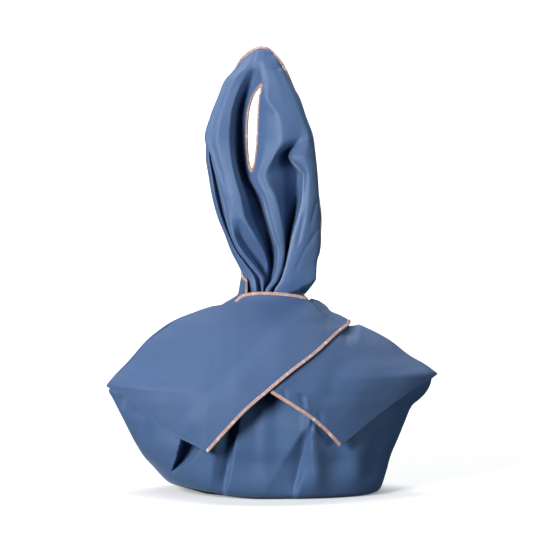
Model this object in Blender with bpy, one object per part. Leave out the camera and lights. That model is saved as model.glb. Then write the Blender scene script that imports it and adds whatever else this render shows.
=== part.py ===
"""Furoshiki wrap: a cloth sack with two crossed front wings, and a gathered ear with a hand slit.

Millimetres in the tables, metres in the meshes. X is to the viewer's right, -Y is the front and +Z is up.
The origin is the middle of the base, on the surface that the wrap stands on.
"""

import math

import bmesh
import bpy
import numpy as np

MM = 0.001
CLOTH = 1.4  # thickness of each cloth sheet
BINDING_WIDTH = 3.4  # the narrow folded tape that binds every cut edge
BINDING_THICKNESS = 2.4
TAPE_WORN = 0.8  # how far the tape's corners are worn off
CLEARANCE = 0.3  # between neighbouring pieces
EDGE_SETBACK = BINDING_WIDTH / 2 + CLEARANCE  # from a binding's centre line to its cloth

# The sack's level sections. Reaches are from the middle. A blunt section has a low "point" value, and a
# section that ends in two sharp corners has one near 1. Each row holds:
# height, left reach, right reach, front reach, back reach, point
SACK_SECTIONS = (
    (0.0, 93, 99, 60, 49, 0.32),
    (1.5, 99, 104, 65, 55, 0.33),
    (5.0, 104, 108, 69, 60, 0.35),
    (12.0, 109, 111, 72, 65, 0.39),
    (20.0, 115, 114, 74, 69, 0.43),
    (36.0, 128, 118, 76, 73, 0.48),
    (52.0, 138, 125, 78, 75.5, 0.54),
    (68.0, 146, 131.5, 78, 76, 0.64),
    (84.0, 154, 138.5, 76, 74, 0.76),
    (92.0, 158, 147.5, 74.5, 72.5, 0.86),
    (99.0, 160, 153.5, 73, 71, 0.93),
    (108.0, 155.5, 157.5, 71, 69, 0.97),
    (116.0, 148, 158.5, 69, 67, 0.95),
    (125.0, 138.5, 146.5, 65.5, 64, 0.94),
    (134.5, 130, 130.5, 59.5, 59.5, 0.93),
    (150.0, 115.5, 107, 47, 51, 0.90),
    (156.0, 107, 91, 41, 47, 0.88),
    (162.5, 98, 68, 34, 42, 0.85),
    (168.0, 87, 56, 28.5, 37, 0.80),
    (175.0, 71, 45, 21.5, 30, 0.72),
    (181.0, 52, 38.5, 15, 22, 0.60),
    (187.0, 34.5, 34.5, 12.5, 14.2, 0.50),
)

# The face of the two wings, outside the sack, with the same columns.
SHELL_SECTIONS = (
    (32.0, 136, 128, 88, 88, 0.55),
    (52.0, 146, 138, 89, 88, 0.60),
    (72.0, 156, 149, 89, 86, 0.72),
    (92.0, 163, 158, 87, 83, 0.84),
    (104.0, 164.5, 162, 84, 79, 0.90),
    (116.0, 153, 164, 78, 73, 0.90),
    (125.0, 143, 152, 73, 67, 0.88),
    (134.5, 134.5, 136, 67, 62, 0.86),
    (150.0, 120.3, 115.5, 56, 53, 0.82),
    (162.5, 103, 95, 46, 44.5, 0.76),
    (168.0, 96, 78, 41, 40, 0.72),
    (175.0, 79.5, 66, 34, 33.5, 0.66),
    (183.0, 59, 53, 24.5, 24, 0.60),
    (190.0, 40, 41, 18, 18, 0.52),
    (198.0, 36.5, 37, 14.5, 14.5, 0.50),
)


def smooth(start, end, at):
    """0 before start, 1 after end, and an even ramp between them."""
    t = np.clip((np.asarray(at, float) - start) / (end - start), 0.0, 1.0)
    return t * t * (3.0 - 2.0 * t)


def through(knots, values, at):
    """Reads a smooth curve that passes through values at knots and never overshoots them."""
    knots, values, at = (np.asarray(a, float) for a in (knots, values, at))
    values = values.reshape(len(knots), -1)
    step = np.diff(knots)
    slope = np.diff(values, axis=0) / step[:, None]
    product = slope[:-1] * slope[1:]
    total = np.where(product > 0, slope[:-1] + slope[1:], 1.0)
    inner = np.where(product > 0, 2.0 * product / total, 0.0)
    slopes = np.vstack([slope[:1], inner, slope[-1:]])
    i = np.clip(np.searchsorted(knots, at, "right") - 1, 0, len(step) - 1)
    h = step[i][..., None]
    t = (at - knots[i])[..., None] / h
    a, b, m, n = values[i], values[i + 1], slopes[i] * h, slopes[i + 1] * h
    return a + t * m + t**2 * (3 * (b - a) - 2 * m - n) + t**3 * (2 * (a - b) + m + n)


def curve_through(points, at):
    """Reads a smooth curve through points at shares of its length, from 0 to 1."""
    points = np.asarray(points, float)
    length = np.concatenate([[0.0], np.cumsum(np.linalg.norm(np.diff(points, axis=0), axis=1))])
    return through(length / length[-1], points, at)


def recut(line, count):
    """The line again as count points, evenly spaced."""
    length = np.concatenate([[0.0], np.cumsum(np.linalg.norm(np.diff(line, axis=0), axis=1))])
    at = np.linspace(0.0, length[-1], count)
    return np.stack([np.interp(at, length, line[:, k]) for k in range(3)], axis=1)


def squeeze(line, cut_start, cut_end, fade):
    """The line with a length cut off either end. Its points are drawn in, evenly where fade is 1.

    With a higher fade, the points further from the cut stay closer to where they were.
    """
    length = np.concatenate([[0.0], np.cumsum(np.linalg.norm(np.diff(line, axis=0), axis=1))])
    share = length / length[-1]
    at = length + cut_start * (1 - share) ** fade - cut_end * share**fade
    return np.stack([np.interp(at, length, line[:, k]) for k in range(3)], axis=1)


def cut_back(rows, start, end, fade):
    """Rows cut back from the edge through their first or last points by a distance square to that edge."""
    cuts = []
    for setback, edge, beside in ((start, rows[:, 0], rows[:, 1]), (end, rows[:, -1], rows[:, -2])):
        along = np.gradient(edge, axis=0)
        inward = beside - edge
        square = np.linalg.norm(np.cross(along, inward), axis=1)
        square /= np.linalg.norm(along, axis=1) * np.linalg.norm(inward, axis=1)
        cuts.append(setback / np.maximum(square, 0.4))
    return np.array([squeeze(*given) for given in zip(rows, *cuts, fade)])


def section(table, height):
    """The columns of a section table after its first, read at each height."""
    rows = np.array(table, float)
    height = np.clip(height, rows[0, 0], rows[-1, 0])
    return np.moveaxis(through(rows[:, 0], rows[:, 1:], height), -1, 0)


def round_section(table, angle, height):
    """Points round a section: angle 0 is the right end, a quarter turn the back."""
    left, right, front, back, point = section(table, height)
    along, out = np.cos(angle), np.sin(angle)
    x = along * np.where(along > 0, right, left)
    y = np.sign(out) * np.where(out > 0, back, front) * np.abs(out) ** (2 * point)
    return x, y


def normals_of(grid):
    """Unit normals of a grid of points, facing the viewer where rows run down and columns run right."""
    down = np.gradient(grid, axis=0)
    right = np.gradient(grid, axis=1)
    normal = np.cross(down, right)
    return normal / np.maximum(np.linalg.norm(normal, axis=2, keepdims=True), 1e-9)


# Folds in the cloth. A negative depth is a raised pleat, and a fold that leans 0.5 has a left slope three
# times as wide as its right one. Each row holds, with half widths:
# upper x, upper z, lower x, lower z, upper width, lower width, depth, lean
SACK_FRONT_FOLDS = (
    (-83, 84, -100, 22, 12, 6, 14, 0.1),  # the pocket below the left wing's fold
    (-41, 104, -53, 6, 10, 10, 13, 0.4),  # the long fold below the left wing's tip
    (-2, 120, -4, 40, 40, 28, 13, 0.0),  # the broad hollow below the crossing
    (-5, 104, -3, 42, 9, 8, -3.5, 0.0),  # the soft rib in that hollow
    (34, 92, -6, 8, 8, 13, 12, 0.0),  # the slanting fold left of the sharp pleat
    (33, 98, 42, 6, 6, 11, -8, 0.0),  # the sharp pleat
    (57, 90, 63, 26, 12, 11, 7, 0.0),  # the hollow below the right wing's tip
    (76, 72, 79, 10, 7, 7, 3, 0.3),  # the soft falls towards the right end
    (108, 72, 92, 12, 10, 10, 4, 0.0),
    (-128, 68, -112, 24, 7, 7, 4, 0.0),  # and towards the left end
)
SACK_BACK_FOLDS = (
    (-20, 192, -78, 36, 5, 14, 7, 0.0),
    (-7, 194, -26, 26, 4, 16, 8, 0.2),
    (8, 194, 22, 32, 4, 15, 7, -0.2),
    (18, 192, 74, 40, 5, 15, 8, 0.0),
    (-26, 186, -118, 66, 5, 12, 6, 0.0),
    (26, 186, 112, 62, 5, 13, 6, 0.0),
)
LEFT_WING_FOLDS = (
    (-58, 160, -62, 44, 12, 13, -3, 0.0),  # the long soft swell to the wing's tip
    (-36, 160, -44, 76, 9, 8, 2, 0.0),
    (-104, 144, -98, 72, 14, 12, 2.5, 0.0),
    (14, 182, 2, 112, 14, 16, -2, 0.0),
)
RIGHT_WING_FOLDS = (
    (100, 150, 76, 74, 14, 12, -3, 0.0),
    (66, 140, 52, 90, 9, 9, 2.5, 0.0),
    (126, 130, 112, 98, 10, 10, 2.5, 0.0),
)


def fold_depth(folds, x, z):
    """How far the folds sink the cloth at a place seen from the front."""
    depth = np.zeros(np.broadcast(x, z).shape)
    for upper_x, upper_z, lower_x, lower_z, upper_width, lower_width, sink, lean in folds:
        share = (upper_z - z) / (upper_z - lower_z)
        run = smooth(0.0, 0.3, share) * smooth(0.0, 0.3, 1.0 - share)
        within = np.clip(share, 0.0, 1.0)
        beside = x - upper_x - (lower_x - upper_x) * within
        width = (upper_width + (lower_width - upper_width) * within) * (1 - lean * np.sign(beside))
        depth += sink * run * np.exp(-((beside / width) ** 2))
    return depth


SACK_BLUE = (0.075, 0.135, 0.26)
LEFT_BLUE = (0.088, 0.155, 0.29)
RIGHT_BLUE = (0.07, 0.13, 0.25)
EAR_BLUE = (0.082, 0.145, 0.275)
TAPE_PINK = (0.56, 0.33, 0.27)
CLOTH_ROUGHNESS, TAPE_ROUGHNESS = 0.42, 0.38


def material(name, colour, roughness):
    made = bpy.data.materials.new(name)
    made.use_nodes = True
    shader = made.node_tree.nodes["Principled BSDF"]
    shader.inputs["Base Color"].default_value = (*colour, 1.0)
    shader.inputs["Roughness"].default_value = roughness
    shader.inputs["Metallic"].default_value = 0.0
    return made


def tape_material(name):
    return material(name, TAPE_PINK, TAPE_ROUGHNESS)


def link(name, mesh, cloth):
    """A named object of the scene with its finish, shaded smooth away from its sharp edges."""
    mesh.materials.append(cloth)
    made = bpy.data.objects.new(name, mesh)
    bpy.context.scene.collection.objects.link(made)
    mesh.shade_smooth()
    mesh.set_sharp_from_angle(angle=math.radians(50))
    return made


def surface(name, grids, ring=False, closed=False, kept=None):
    """A mesh over one or more grids of points, joined where they meet.

    A closed one has a face on its first row, and only the faces whose four corners are kept are made.
    """
    shape = bmesh.new()
    for grid in grids:
        rows = [[shape.verts.new(point * MM) for point in row] for row in grid]
        count = len(rows[0])
        for r, (above, below) in enumerate(zip(rows[:-1], rows[1:])):
            for i in range(count if ring else count - 1):
                j = (i + 1) % count
                if kept is None or kept[r : r + 2, (i, j)].all():
                    shape.faces.new((above[i], below[i], below[j], above[j]))
        if closed:
            shape.faces.new(rows[0])
    loose = [point for point in shape.verts if not point.link_faces]
    bmesh.ops.delete(shape, geom=loose, context="VERTS")
    bmesh.ops.remove_doubles(shape, verts=shape.verts, dist=1e-6)
    mesh = bpy.data.meshes.new(name)
    shape.to_mesh(mesh)
    shape.free()
    return mesh


def sheet(name, mesh, cloth):
    """A cloth object: the surface is its outer face, and the thickness lies behind it."""
    made = link(name, mesh, cloth)
    thicken = made.modifiers.new("Cloth", "SOLIDIFY")
    thicken.thickness = CLOTH * MM
    thicken.offset = -1
    return made


def swept(name, rings, tape, ring=False):
    """A solid through rings of points, closed into a loop or with a face at either end."""
    shape = bmesh.new()
    loops = [[shape.verts.new(point * MM) for point in points] for points in rings]
    pairs = list(zip(loops[:-1], loops[1:])) + ([(loops[-1], loops[0])] if ring else [])
    for one, two in pairs:
        for i in range(len(one)):
            j = (i + 1) % len(one)
            shape.faces.new((one[i], one[j], two[j], two[i]))
    if not ring:
        shape.faces.new(loops[0][::-1])
        shape.faces.new(loops[-1])
    bmesh.ops.recalc_face_normals(shape, faces=shape.faces)
    mesh = bpy.data.meshes.new(name)
    shape.to_mesh(mesh)
    shape.free()
    return link(name, mesh, tape)


def tape_outline():
    """The folded tape's section, as offsets across it and out of the cloth: a flat bar with worn corners."""
    across, out = BINDING_WIDTH / 2, BINDING_THICKNESS / 2
    flat = across - TAPE_WORN
    return (across, 0.0), (flat, out), (-flat, out), (-across, 0.0), (-flat, -out), (flat, -out)


TAPE_OUTLINE = tape_outline()


def binding(name, path, facing, tape, ring=False):
    """The folded tape on a cut edge, swept along the edge's line."""
    along = np.gradient(path, axis=0)
    if ring:
        along = np.roll(path, -1, axis=0) - np.roll(path, 1, axis=0)
    along /= np.linalg.norm(along, axis=1, keepdims=True)
    facing = facing - along * (facing * along).sum(1, keepdims=True)
    facing /= np.linalg.norm(facing, axis=1, keepdims=True)
    across = np.cross(along, facing)
    rows = [path + across * a + facing * b for a, b in TAPE_OUTLINE]
    return swept(name, np.stack(rows, axis=1), tape, ring)


# The sack's open rim is low in front, under the left wing's lip, and bound behind, with one corner pulled up
# behind the ear's left side.
RIM_FROM = 178.0
RIM_SIDE, RIM_BACK = 189.5, 196.0
FRONT_DROP = 3.0
CORNER_RISE, CORNER_ANGLE, CORNER_SPREAD = 16.0, math.radians(150), math.radians(19)
CORNER_DROP = 4.5  # added to the cloth's setback at the pulled-up corner
CORNER_REACH = 0.45  # the angle before the corner's middle where its closer columns start
BASE_LIFT = 9.0  # the base's left end curves up off the surface
BASE_FLAT = 0.72  # the share of the base's outline that is quite flat
FRONT_COLUMNS, BACK_COLUMNS, CORNER_COLUMNS = 50, 13, 8
SACK_LEVELS = (0, 1.5, 5, 11, 19, 28, 37, 46, 55, 64, 74, 84, 93, 100, 109, 121, 134, 147, 159, 169)


def rim_height(angle):
    """The height of the binding's centre line round the sack's mouth."""
    level = RIM_SIDE + (RIM_BACK - RIM_SIDE) * smooth(0.0, 0.5, np.sin(angle))
    return level + CORNER_RISE * np.exp(-(((angle - CORNER_ANGLE) / CORNER_SPREAD) ** 2))


def sack_points(angle, height):
    """Points of the sack's outer face."""
    x, y = round_section(SACK_SECTIONS, angle, height)
    front = fold_depth(SACK_FRONT_FOLDS, x, height) * smooth(0.0, 0.45, -np.sin(angle))
    back = fold_depth(SACK_BACK_FOLDS, x, height) * smooth(0.0, 0.5, np.sin(angle))
    lift = BASE_LIFT * smooth(50, 104, -x) * (1 - smooth(4, 40, height))
    return np.stack([x, y + front - back, height + lift], axis=-1)


def sack_rim(angle, share):
    """The sack's last rows, up to the binding's centre line: share 0 is the foot of the neck, 1 its top."""
    points = sack_points(angle, np.full_like(angle, RIM_FROM + share * (187.0 - RIM_FROM)))
    points[:, 2] = RIM_FROM + share * (rim_height(angle) - RIM_FROM)
    return points


def make_sack(cloth):
    even = np.linspace(0, 1, FRONT_COLUMNS, endpoint=False)
    front = math.pi + 0.6 * np.arccos(1 - 2 * even) + 0.4 * math.pi * even
    corner = np.linspace(CORNER_ANGLE - CORNER_REACH, math.pi, CORNER_COLUMNS, endpoint=False)
    back = np.linspace(0, corner[0], BACK_COLUMNS, endpoint=False)
    angle = np.concatenate([front, back, corner])
    rows = [sack_points(angle, np.full_like(angle, level)) for level in SACK_LEVELS]
    rows.insert(0, rows[0] * (BASE_FLAT, BASE_FLAT, 0))
    top = sack_rim(angle, 1.0)
    along = sack_rim(angle + 0.01, 1.0) - sack_rim(angle - 0.01, 1.0)
    slanting = np.linalg.norm(along, axis=1) / np.linalg.norm(along[:, :2], axis=1)
    drop = (EDGE_SETBACK + CLEARANCE) * slanting + FRONT_DROP * (1 - smooth(-0.1, 0.15, np.sin(angle)))
    drop += CORNER_DROP * np.exp(-(((angle - CORNER_ANGLE) / CORNER_SPREAD) ** 2))
    for share in (0.0, 0.5, 1.0):
        row = sack_rim(angle, share)
        row[:, 2] = RIM_FROM + share * (top[:, 2] - drop - RIM_FROM)
        rows.append(row)
    mesh = surface("sack", [np.array(rows)], ring=True, closed=True)
    mesh.flip_normals()
    return sheet("sack", mesh, cloth)


# Outlines of the wings as seen from the front: pairs of x and z, from left to right.
LEFT_TOP = (
    (-164.3, 104), (-157, 113), (-143, 127.5), (-120.3, 152.5), (-97.6, 168.5), (-79.5, 176), (-59, 183),
    (-43, 186.3), (-36, 189), (-28, 195), (-10, 197.3), (6, 196.8), (24, 193.8), (35.5, 190.6), (45, 184.8),
    (56, 178.5), (67, 174), (77.5, 168.2),
)
LEFT_FOLD = (
    (-164.3, 104), (-152.6, 100.5), (-135.8, 91.5), (-113.3, 74.9), (-96.8, 63.6), (-78.5, 55.7), (-63, 50),
)
LEFT_TRIM = (
    (-63, 50), (-45.5, 70.1), (-25.3, 91.7), (-2, 111.4), (17.2, 126.5), (41, 143), (51.2, 151),
    (66.2, 162.5), (77.5, 168.2),
)
RIGHT_TOP = (
    (-18, 120.5), (-4, 134), (12, 149), (27, 164), (42, 180), (50, 176.5), (60, 172), (67, 168),
    (74, 163.8), (80, 164), (85, 165), (93, 162), (115.5, 150), (136, 134.3), (152, 125), (164, 116.2),
)
RIGHT_FOLD = (
    (66.3, 55.3), (77.4, 63), (93.4, 75), (116.2, 90.5), (134.4, 101), (150.7, 108.8), (164, 116.2),
)
RIGHT_TRIM = ((-18, 120.5), (-2, 109.3), (19.3, 96), (40.7, 81.3), (54, 69), (66.3, 55.3))

LAYER = 3.6  # from the right wing's face to the face of the left wing that crosses it
OVERLAP_AT, OVERLAP_WAY = (42, 180), (0.69, -0.72)  # a place on the overlap's edge, and the way across it
BESIDE_NECK = (36, 62)  # between these reaches a wing's ridge comes to the middle of the shell
HEM_RADIUS = 1.8
HEM_LENGTH, HEM_TIP_LENGTH = 10.0, 0.8  # the turned hem's width, and the little that is left of it at a tip
HEM_TIP_TURN = 45  # degrees that the hem turns at a tip, where it opens out; elsewhere it turns fully under
LAPS = ((4.4, 2.0), (2.0, 0.4))  # how far each lap row lies back and down from the shoulder's ridge
WING_ROWS = 10
RIDGE_CROWDING = 1.3  # the rows stand closer together near the shoulder's sharp bend
LEFT_RIDGE_DEPTH, RIGHT_RIDGE_DEPTH = 13.0, 8.0  # how far below its ridge a wing's face is drawn back
NECK_REACH = 35.6  # half the width of the slit that the ear comes through
NECK_CLEAR = 38.0  # where the laps beside that slit start
LEFT_TIP, RIGHT_TIP = -63.0, 66.3
WING_REACH = 164.0
LEFT_SPANS = ((-161.5, -66.5, 14), (-63, -38, 4), (-33, 33, 9), (38, 69.5, 6))  # columns: from, to, how many
RIGHT_SPANS = ((-12, 32, 7), (42, 66.3, 5), (70, 161.5, 11))
TIP_EXTRA, END_EXTRA, CORNER_EXTRA = 0.7, 0.5, 1.6  # added to the setback at sharp ends of a binding
TIP_CLEAR = 3.0  # from the binding's end at the wing's tip to the turned hem
TRIM_RINGS, NECK_RINGS = 30, 44  # sections along a wing's binding and round the neck's
NECK_EASING = 4  # how many times the neck binding's line is evened out at its corners


def level(outline, x):
    """The height of an outline at each x."""
    places = np.array(outline, float)
    return through(places[:, 0], places[:, 1], x)[..., 0]


def shell(x, z):
    """How far out a place is, from 0 in the middle to 1 at the ridge, and the depth of the face there."""
    left, right, front, back, point = section(SHELL_SECTIONS, z)
    share = np.clip(np.abs(x) / np.where(x > 0, right, left), 0.0, 1.0)
    return share, -front * (1 - share**2) ** point


def drawn_back(x, z, top, beside, depth):
    """How far a wing's face is drawn back, so that a ridge that lies inside the shell comes to its middle."""
    ridge = level(top, x)
    return -beside * shell(x, ridge)[1] * np.exp(-(((ridge - z) / depth) ** 2))


def left_face(x, z):
    """The left wing's face at a place seen from the front, standing proud where it crosses the right wing."""
    share, y = shell(x, z)
    past = (x - OVERLAP_AT[0]) * OVERLAP_WAY[0] + (z - OVERLAP_AT[1]) * OVERLAP_WAY[1]
    proud = LAYER * smooth(-22, -4, past) * (1 - smooth(0.85, 1.0, share))
    y = y - proud + fold_depth(LEFT_WING_FOLDS, x, z) * (1 - share)
    beside = smooth(*BESIDE_NECK, np.abs(x))
    return np.stack([x, y + drawn_back(x, z, LEFT_TOP, beside, LEFT_RIDGE_DEPTH), z], axis=-1)


def right_face(x, z):
    """The right wing's face. Its shoulder lies lower where the left wing covers it."""
    share, y = shell(x, z)
    y = y + fold_depth(RIGHT_WING_FOLDS, x, z) * (1 - share)
    beside = smooth(*BESIDE_NECK, x)
    return np.stack([x, y + drawn_back(x, z, RIGHT_TOP, beside, RIGHT_RIDGE_DEPTH), z], axis=-1)


def wing_face(face_of, x, top, bottom):
    """The wing's face as rows of points from its top edge down, in columns at each x."""
    v = np.linspace(0, 1, WING_ROWS)[:, None] ** RIDGE_CROWDING
    z = top + (bottom - top) * v
    return face_of(np.broadcast_to(x, z.shape), z)


def laps_of(face):
    """Rows behind the shoulder's ridge, where the cloth laps over to the back."""
    return np.array([face[0] + (0.0, back, -down) for back, down in LAPS])


def hem_of(face, outward, reach):
    """Rows that turn the cloth under at its fold and back up behind. Reach is 0 at the wing's outer tip."""
    down = face[-1] - face[-2]
    down -= outward * (down * outward).sum(1, keepdims=True)
    down /= np.linalg.norm(down, axis=1, keepdims=True)
    turn = np.radians(HEM_TIP_TURN + (180 - HEM_TIP_TURN) * smooth(2, 34, reach))[:, None]
    tail = (HEM_TIP_LENGTH + (HEM_LENGTH - HEM_TIP_LENGTH) * smooth(14, 50, reach))[:, None]
    rows = []
    for share in (1 / 3, 2 / 3, 1.0):
        angle = turn * share
        rows.append(face[-1] + HEM_RADIUS * (np.sin(angle) * down - (1 - np.cos(angle)) * outward))
    rows.append(rows[-1] + tail * (np.cos(turn) * down - np.sin(turn) * outward))
    return np.array(rows)


def bound_edges(face, x, folded, tip, slit):
    """The face's columns cut back from the bindings: below, beside the tape, and above, in the slit."""
    near_tip = 1 - smooth(0, 12, np.abs(x - tip))
    low = EDGE_SETBACK + TIP_EXTRA * near_tip + END_EXTRA * smooth(60, 70, x)
    high = EDGE_SETBACK + CORNER_EXTRA * smooth(22, 34, np.abs(x))
    columns = face.swapaxes(0, 1)
    bound = cut_back(columns, np.where(slit, high, 0.0), np.where(folded, 0.0, low), np.ones(len(x)))
    return bound.swapaxes(0, 1)


def wing_sheet(name, face, bound, folded, lapped, cloth):
    """The wing's cloth: its laps, its face and its turned hem, each where it is wanted."""
    outward = np.cross(np.gradient(face, axis=1), np.gradient(face, axis=0))
    outward /= np.maximum(np.linalg.norm(outward, axis=2, keepdims=True), 1e-9)
    reach = WING_REACH - np.abs(face[0, :, 0])
    hem = hem_of(face, -outward[-1], reach)
    grid = np.concatenate([laps_of(face), bound, hem])
    kept = np.concatenate([
        np.repeat(lapped[None], len(LAPS), axis=0),
        np.ones(bound.shape[:2], bool),
        np.repeat(folded[None], len(hem), axis=0),
    ])
    sheet(name, surface(name, [grid], kept=kept), cloth)


def make_left_wing(cloth):
    x = np.concatenate([np.linspace(*span) for span in LEFT_SPANS])
    folded = x < LEFT_TIP - TIP_CLEAR
    slit = np.abs(x) < NECK_CLEAR
    bottom = np.where(folded, level(LEFT_FOLD, x), level(LEFT_TRIM, x))
    face = wing_face(left_face, x, level(LEFT_TOP, x), bottom)
    bound = bound_edges(face, x, folded, LEFT_TIP, slit)
    wing_sheet("left_wing", face, bound, folded, ~slit, cloth)


def make_right_wing(cloth):
    x = np.concatenate([np.linspace(*span) for span in RIGHT_SPANS])
    folded = x > RIGHT_TIP + TIP_CLEAR
    slit = np.zeros(len(x), bool)
    bottom = np.where(folded, level(RIGHT_FOLD, x), level(RIGHT_TRIM, x))
    face = wing_face(right_face, x, level(RIGHT_TOP, x), bottom)
    bound = bound_edges(face, x, folded, RIGHT_TIP, slit)
    wing_sheet("right_wing", face, bound, folded, x > NECK_CLEAR, cloth)


def make_wing_binding(name, face_of, trim, tape):
    """The tape on a wing's slanting cut edge."""
    line = curve_through(trim, np.linspace(0, 1, TRIM_RINGS))
    path = face_of(line[:, 0], line[:, 1])
    facing = np.cross(face_of(line[:, 0], line[:, 1] + 3.0) - path, np.gradient(path, axis=0))
    facing *= -np.sign(facing[:, 1:2]) / np.linalg.norm(facing, axis=1, keepdims=True)
    binding(name, path - facing * CLOTH / 2, facing, tape)


def make_neck_binding(tape):
    """The tape round the slit that the ear comes through: in front on the left wing, behind on the sack."""
    angle = np.linspace(0, 2 * math.pi, NECK_RINGS, endpoint=False)
    x = NECK_REACH * np.cos(angle)
    z = level(LEFT_TOP, x)
    lip = left_face(x, z)
    lip_facing = np.cross(left_face(x, z - 1.0) - lip, left_face(x + 1.0, z) - lip)
    lip_facing /= np.linalg.norm(lip_facing, axis=1, keepdims=True)
    outward = np.stack([np.cos(angle) * 0.5, np.sin(angle), 0 * angle], axis=-1)
    behind = smooth(-0.1, 0.3, np.sin(angle))[:, None]
    side = smooth(0.75, 1.0, np.abs(np.cos(angle)))[:, None]
    turned = np.maximum(behind, side)
    facing = lip_facing * (1 - turned) + outward * turned
    facing /= np.linalg.norm(facing, axis=1, keepdims=True)
    path = lip * (1 - behind) + sack_rim(angle, 1.0) * behind - facing * CLOTH / 2
    for _ in range(NECK_EASING):
        path = (np.roll(path, 1, axis=0) + 2 * path + np.roll(path, -1, axis=0)) / 4
        facing = (np.roll(facing, 1, axis=0) + 2 * facing + np.roll(facing, -1, axis=0)) / 4
    binding("neck_binding", path, facing, tape, ring=True)


# The gathered ear. A row for each fold line, from the left cut edge to the right one, with its place across
# and its depth (back is positive) at each level.
EAR_LEVELS = (
    181.5, 198.5, 210, 223.5, 238, 253.5, 272.5, 291.5, 313.5,
    331.5, 349.5, 371.5, 389, 406.5, 423, 434, 438.5,
)
EAR_FOLDS = (
    ("left cut edge",
     (-15, -18, -22, -26, -31, -36, -41, -45, -49, -51, -50, -49, -45, -38, -33.3, -24.3, -18),
     (6, 4, 8, 11, 14, 16, 19, 21, 23, 23, 21, 18, 14.5, 11, 3.5, 0.8, 0)),
    ("left roll",
     (-19, -21, -27, -33.5, -41, -47.5, -54.5, -60.5, -64, -66, -65.3, -57, -50, -42.5, -33.3, -23.3, -17.2),
     (1, -3, -1, 1, 2, 3, 4, 5, 6, 7, 8.5, 12, 11, 8, 1.8, 0.3, -0.3)),
    ("roll's inner side",
     (-18, -19.5, -24, -29.5, -36.5, -42.5, -48, -54, -58.5, -62, -63, -60, -52.6, -45, -32.6, -22.3, -16.4),
     (-2, -5, -4, -3, -3, -3, -2, -2, -1, 0, 2.5, 7.5, 7, 5, 0.6, -0.1, -0.6)),
    ("slot",
     (-14, -16, -20, -24, -32.5, -39, -44, -49.5, -55, -58, -59.5, -57, -49.8, -42.8, -31.4, -21.3, -15.6),
     (-4, -4, -3, -1, 2, 4, 6, 7, 7, 6.5, 6, 3, 3, 2, -0.4, -0.5, -0.8)),
    ("bright edge",
     (-11, -10, -11, -16.5, -29, -38.5, -43.5, -47.5, -53, -57.8, -66.2, -60.5, -53.6, -46.2, -29.5, -20.2, -15),
     (-6, -9, -11, -13, -14, -14, -13, -12, -10, -8, -4, -1, -1, -1, -1.4, -1, -1)),
    ("highlight band",
     (-9.3, -8.2, -9, -13, -24, -33.5, -38.5, -42.5, -47.5, -51.5, -57.5, -53, -47, -39, -26, -18.3, -13.8),
     (-6.8, -11, -13.5, -16, -18, -18.5, -18.5, -18, -16, -15, -11, -10, -9, -8, -4, -2.5, -1.4)),
    ("left crest",
     (-7.6, -6, -6, -8, -16, -23, -27.5, -31, -34.5, -38, -40.5, -40, -36, -29.5, -21.5, -15.3, -12.2),
     (-7.2, -12, -14, -17, -20, -21.5, -22, -21.5, -21, -20, -18, -17, -15.5, -12.5, -7, -4.2, -1.8)),
    ("left trough",
     (-6, -3.5, -3, 0, 1, -3.5, -10, -16.5, -28, -33, -34.5, -33.5, -28.5, -20.5, -17, -13, -11),
     (-6.2, -5, -3, 2, 8, 12, 15, 16, 10.5, 11, 10.5, 8, 3, -6, -7, -4.6, -2)),
    ("hand slit, and the tube's bright edge below it",
     (-3.8, -1, 0, 4, 7, 2, -3.5, -9.5, -20.5, -20.3, -20, -19, -16.2, -10, -11.5, -11, -9.8),
     (-6.5, -10, -13, -15, -15, -15, -14, -12, -4, 1, 0, -3, -6.5, -11, -9, -5.5, -2)),
    ("hollow, and the tube's front",
     (-2, 1.5, 3.5, 7.5, 9.5, 6, 1.5, -4, -14.5, -9, -6, -5.5, -6.5, -5, -8.5, -9.5, -8.8),
     (-7, -12.5, -15.5, -18, -19, -19.5, -19, -18, -13, -8, -7, -9, -11.5, -13.5, -11, -6.5, -2.2)),
    ("curving ridge, and the tube's right side",
     (0, 4, 6.5, 10.5, 12.5, 12, 8.5, 3, -7.5, 0, 10, 4.5, -1, -3.5, -6.5, -8, -7.8),
     (-6.6, -12, -14, -16, -18, -19, -19, -18, -16, -17, -19, -18, -15.5, -14, -11, -6.5, -2.2)),
    ("right trough",
     (1.8, 6, 8.5, 12.5, 16.5, 20.5, 24, 26, 25, 15, 21, 15, 8, 4, -1.5, -5, -6.4),
     (-5.6, -5, -2, 3, 9, 14, 16, 16, 13, 8, -6, -16, -14.5, -13, -10, -6, -2.1)),
    ("flap, and the right roll's edge below it",
     (4, 8.5, 11, 15, 19, 23, 28, 31, 31, 21, 27, 23, 15, 9.5, 2, -3, -5.2),
     (-6.2, -10, -11, -12, -13, -14, -14, -14, -10, -17, -15, -16, -14, -12, -9, -5, -1.9)),
    ("right crest",
     (8, 16, 21, 26, 29.5, 32.5, 35.5, 37.5, 37.5, 33, 34.5, 29, 21.5, 14, 5.5, -0.8, -4),
     (-6, -11, -14, -16, -17, -18, -18, -17.5, -17, -18, -15, -13, -12, -10, -7.5, -4, -1.6)),
    ("right roll's back",
     (13, 33, 44, 44, 46.3, 47, 47, 46.3, 45, 43.2, 41, 33.3, 27.3, 17.8, 9, 1.5, -3),
     (0, -3, -3, -2, -1, -1, -1, -1, -1, -1, 0, -1, -2, -3, -3, -2, -1)),
    ("right cut edge",
     (8, 25, 38, 41, 46, 47, 47.2, 45.5, 42, 38, 36, 31, 26, 17, 10, 2.2, -2.2),
     (5.5, 3, 4, 6, 6, 4, 4, 7, 10, 12, 11, 7, 4, 2, 0, -0.5, 0)),
)
SLIT_FOLD = 8  # the row of the hand slit
EAR_FOOT, EAR_TIP = 179.0, 438.5  # the ear starts inside the sack's mouth
TIP_FROM, TIP_ARCH = 405.0, 2.5  # above this height the middle of a row rises, up to this much at the tip
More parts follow.
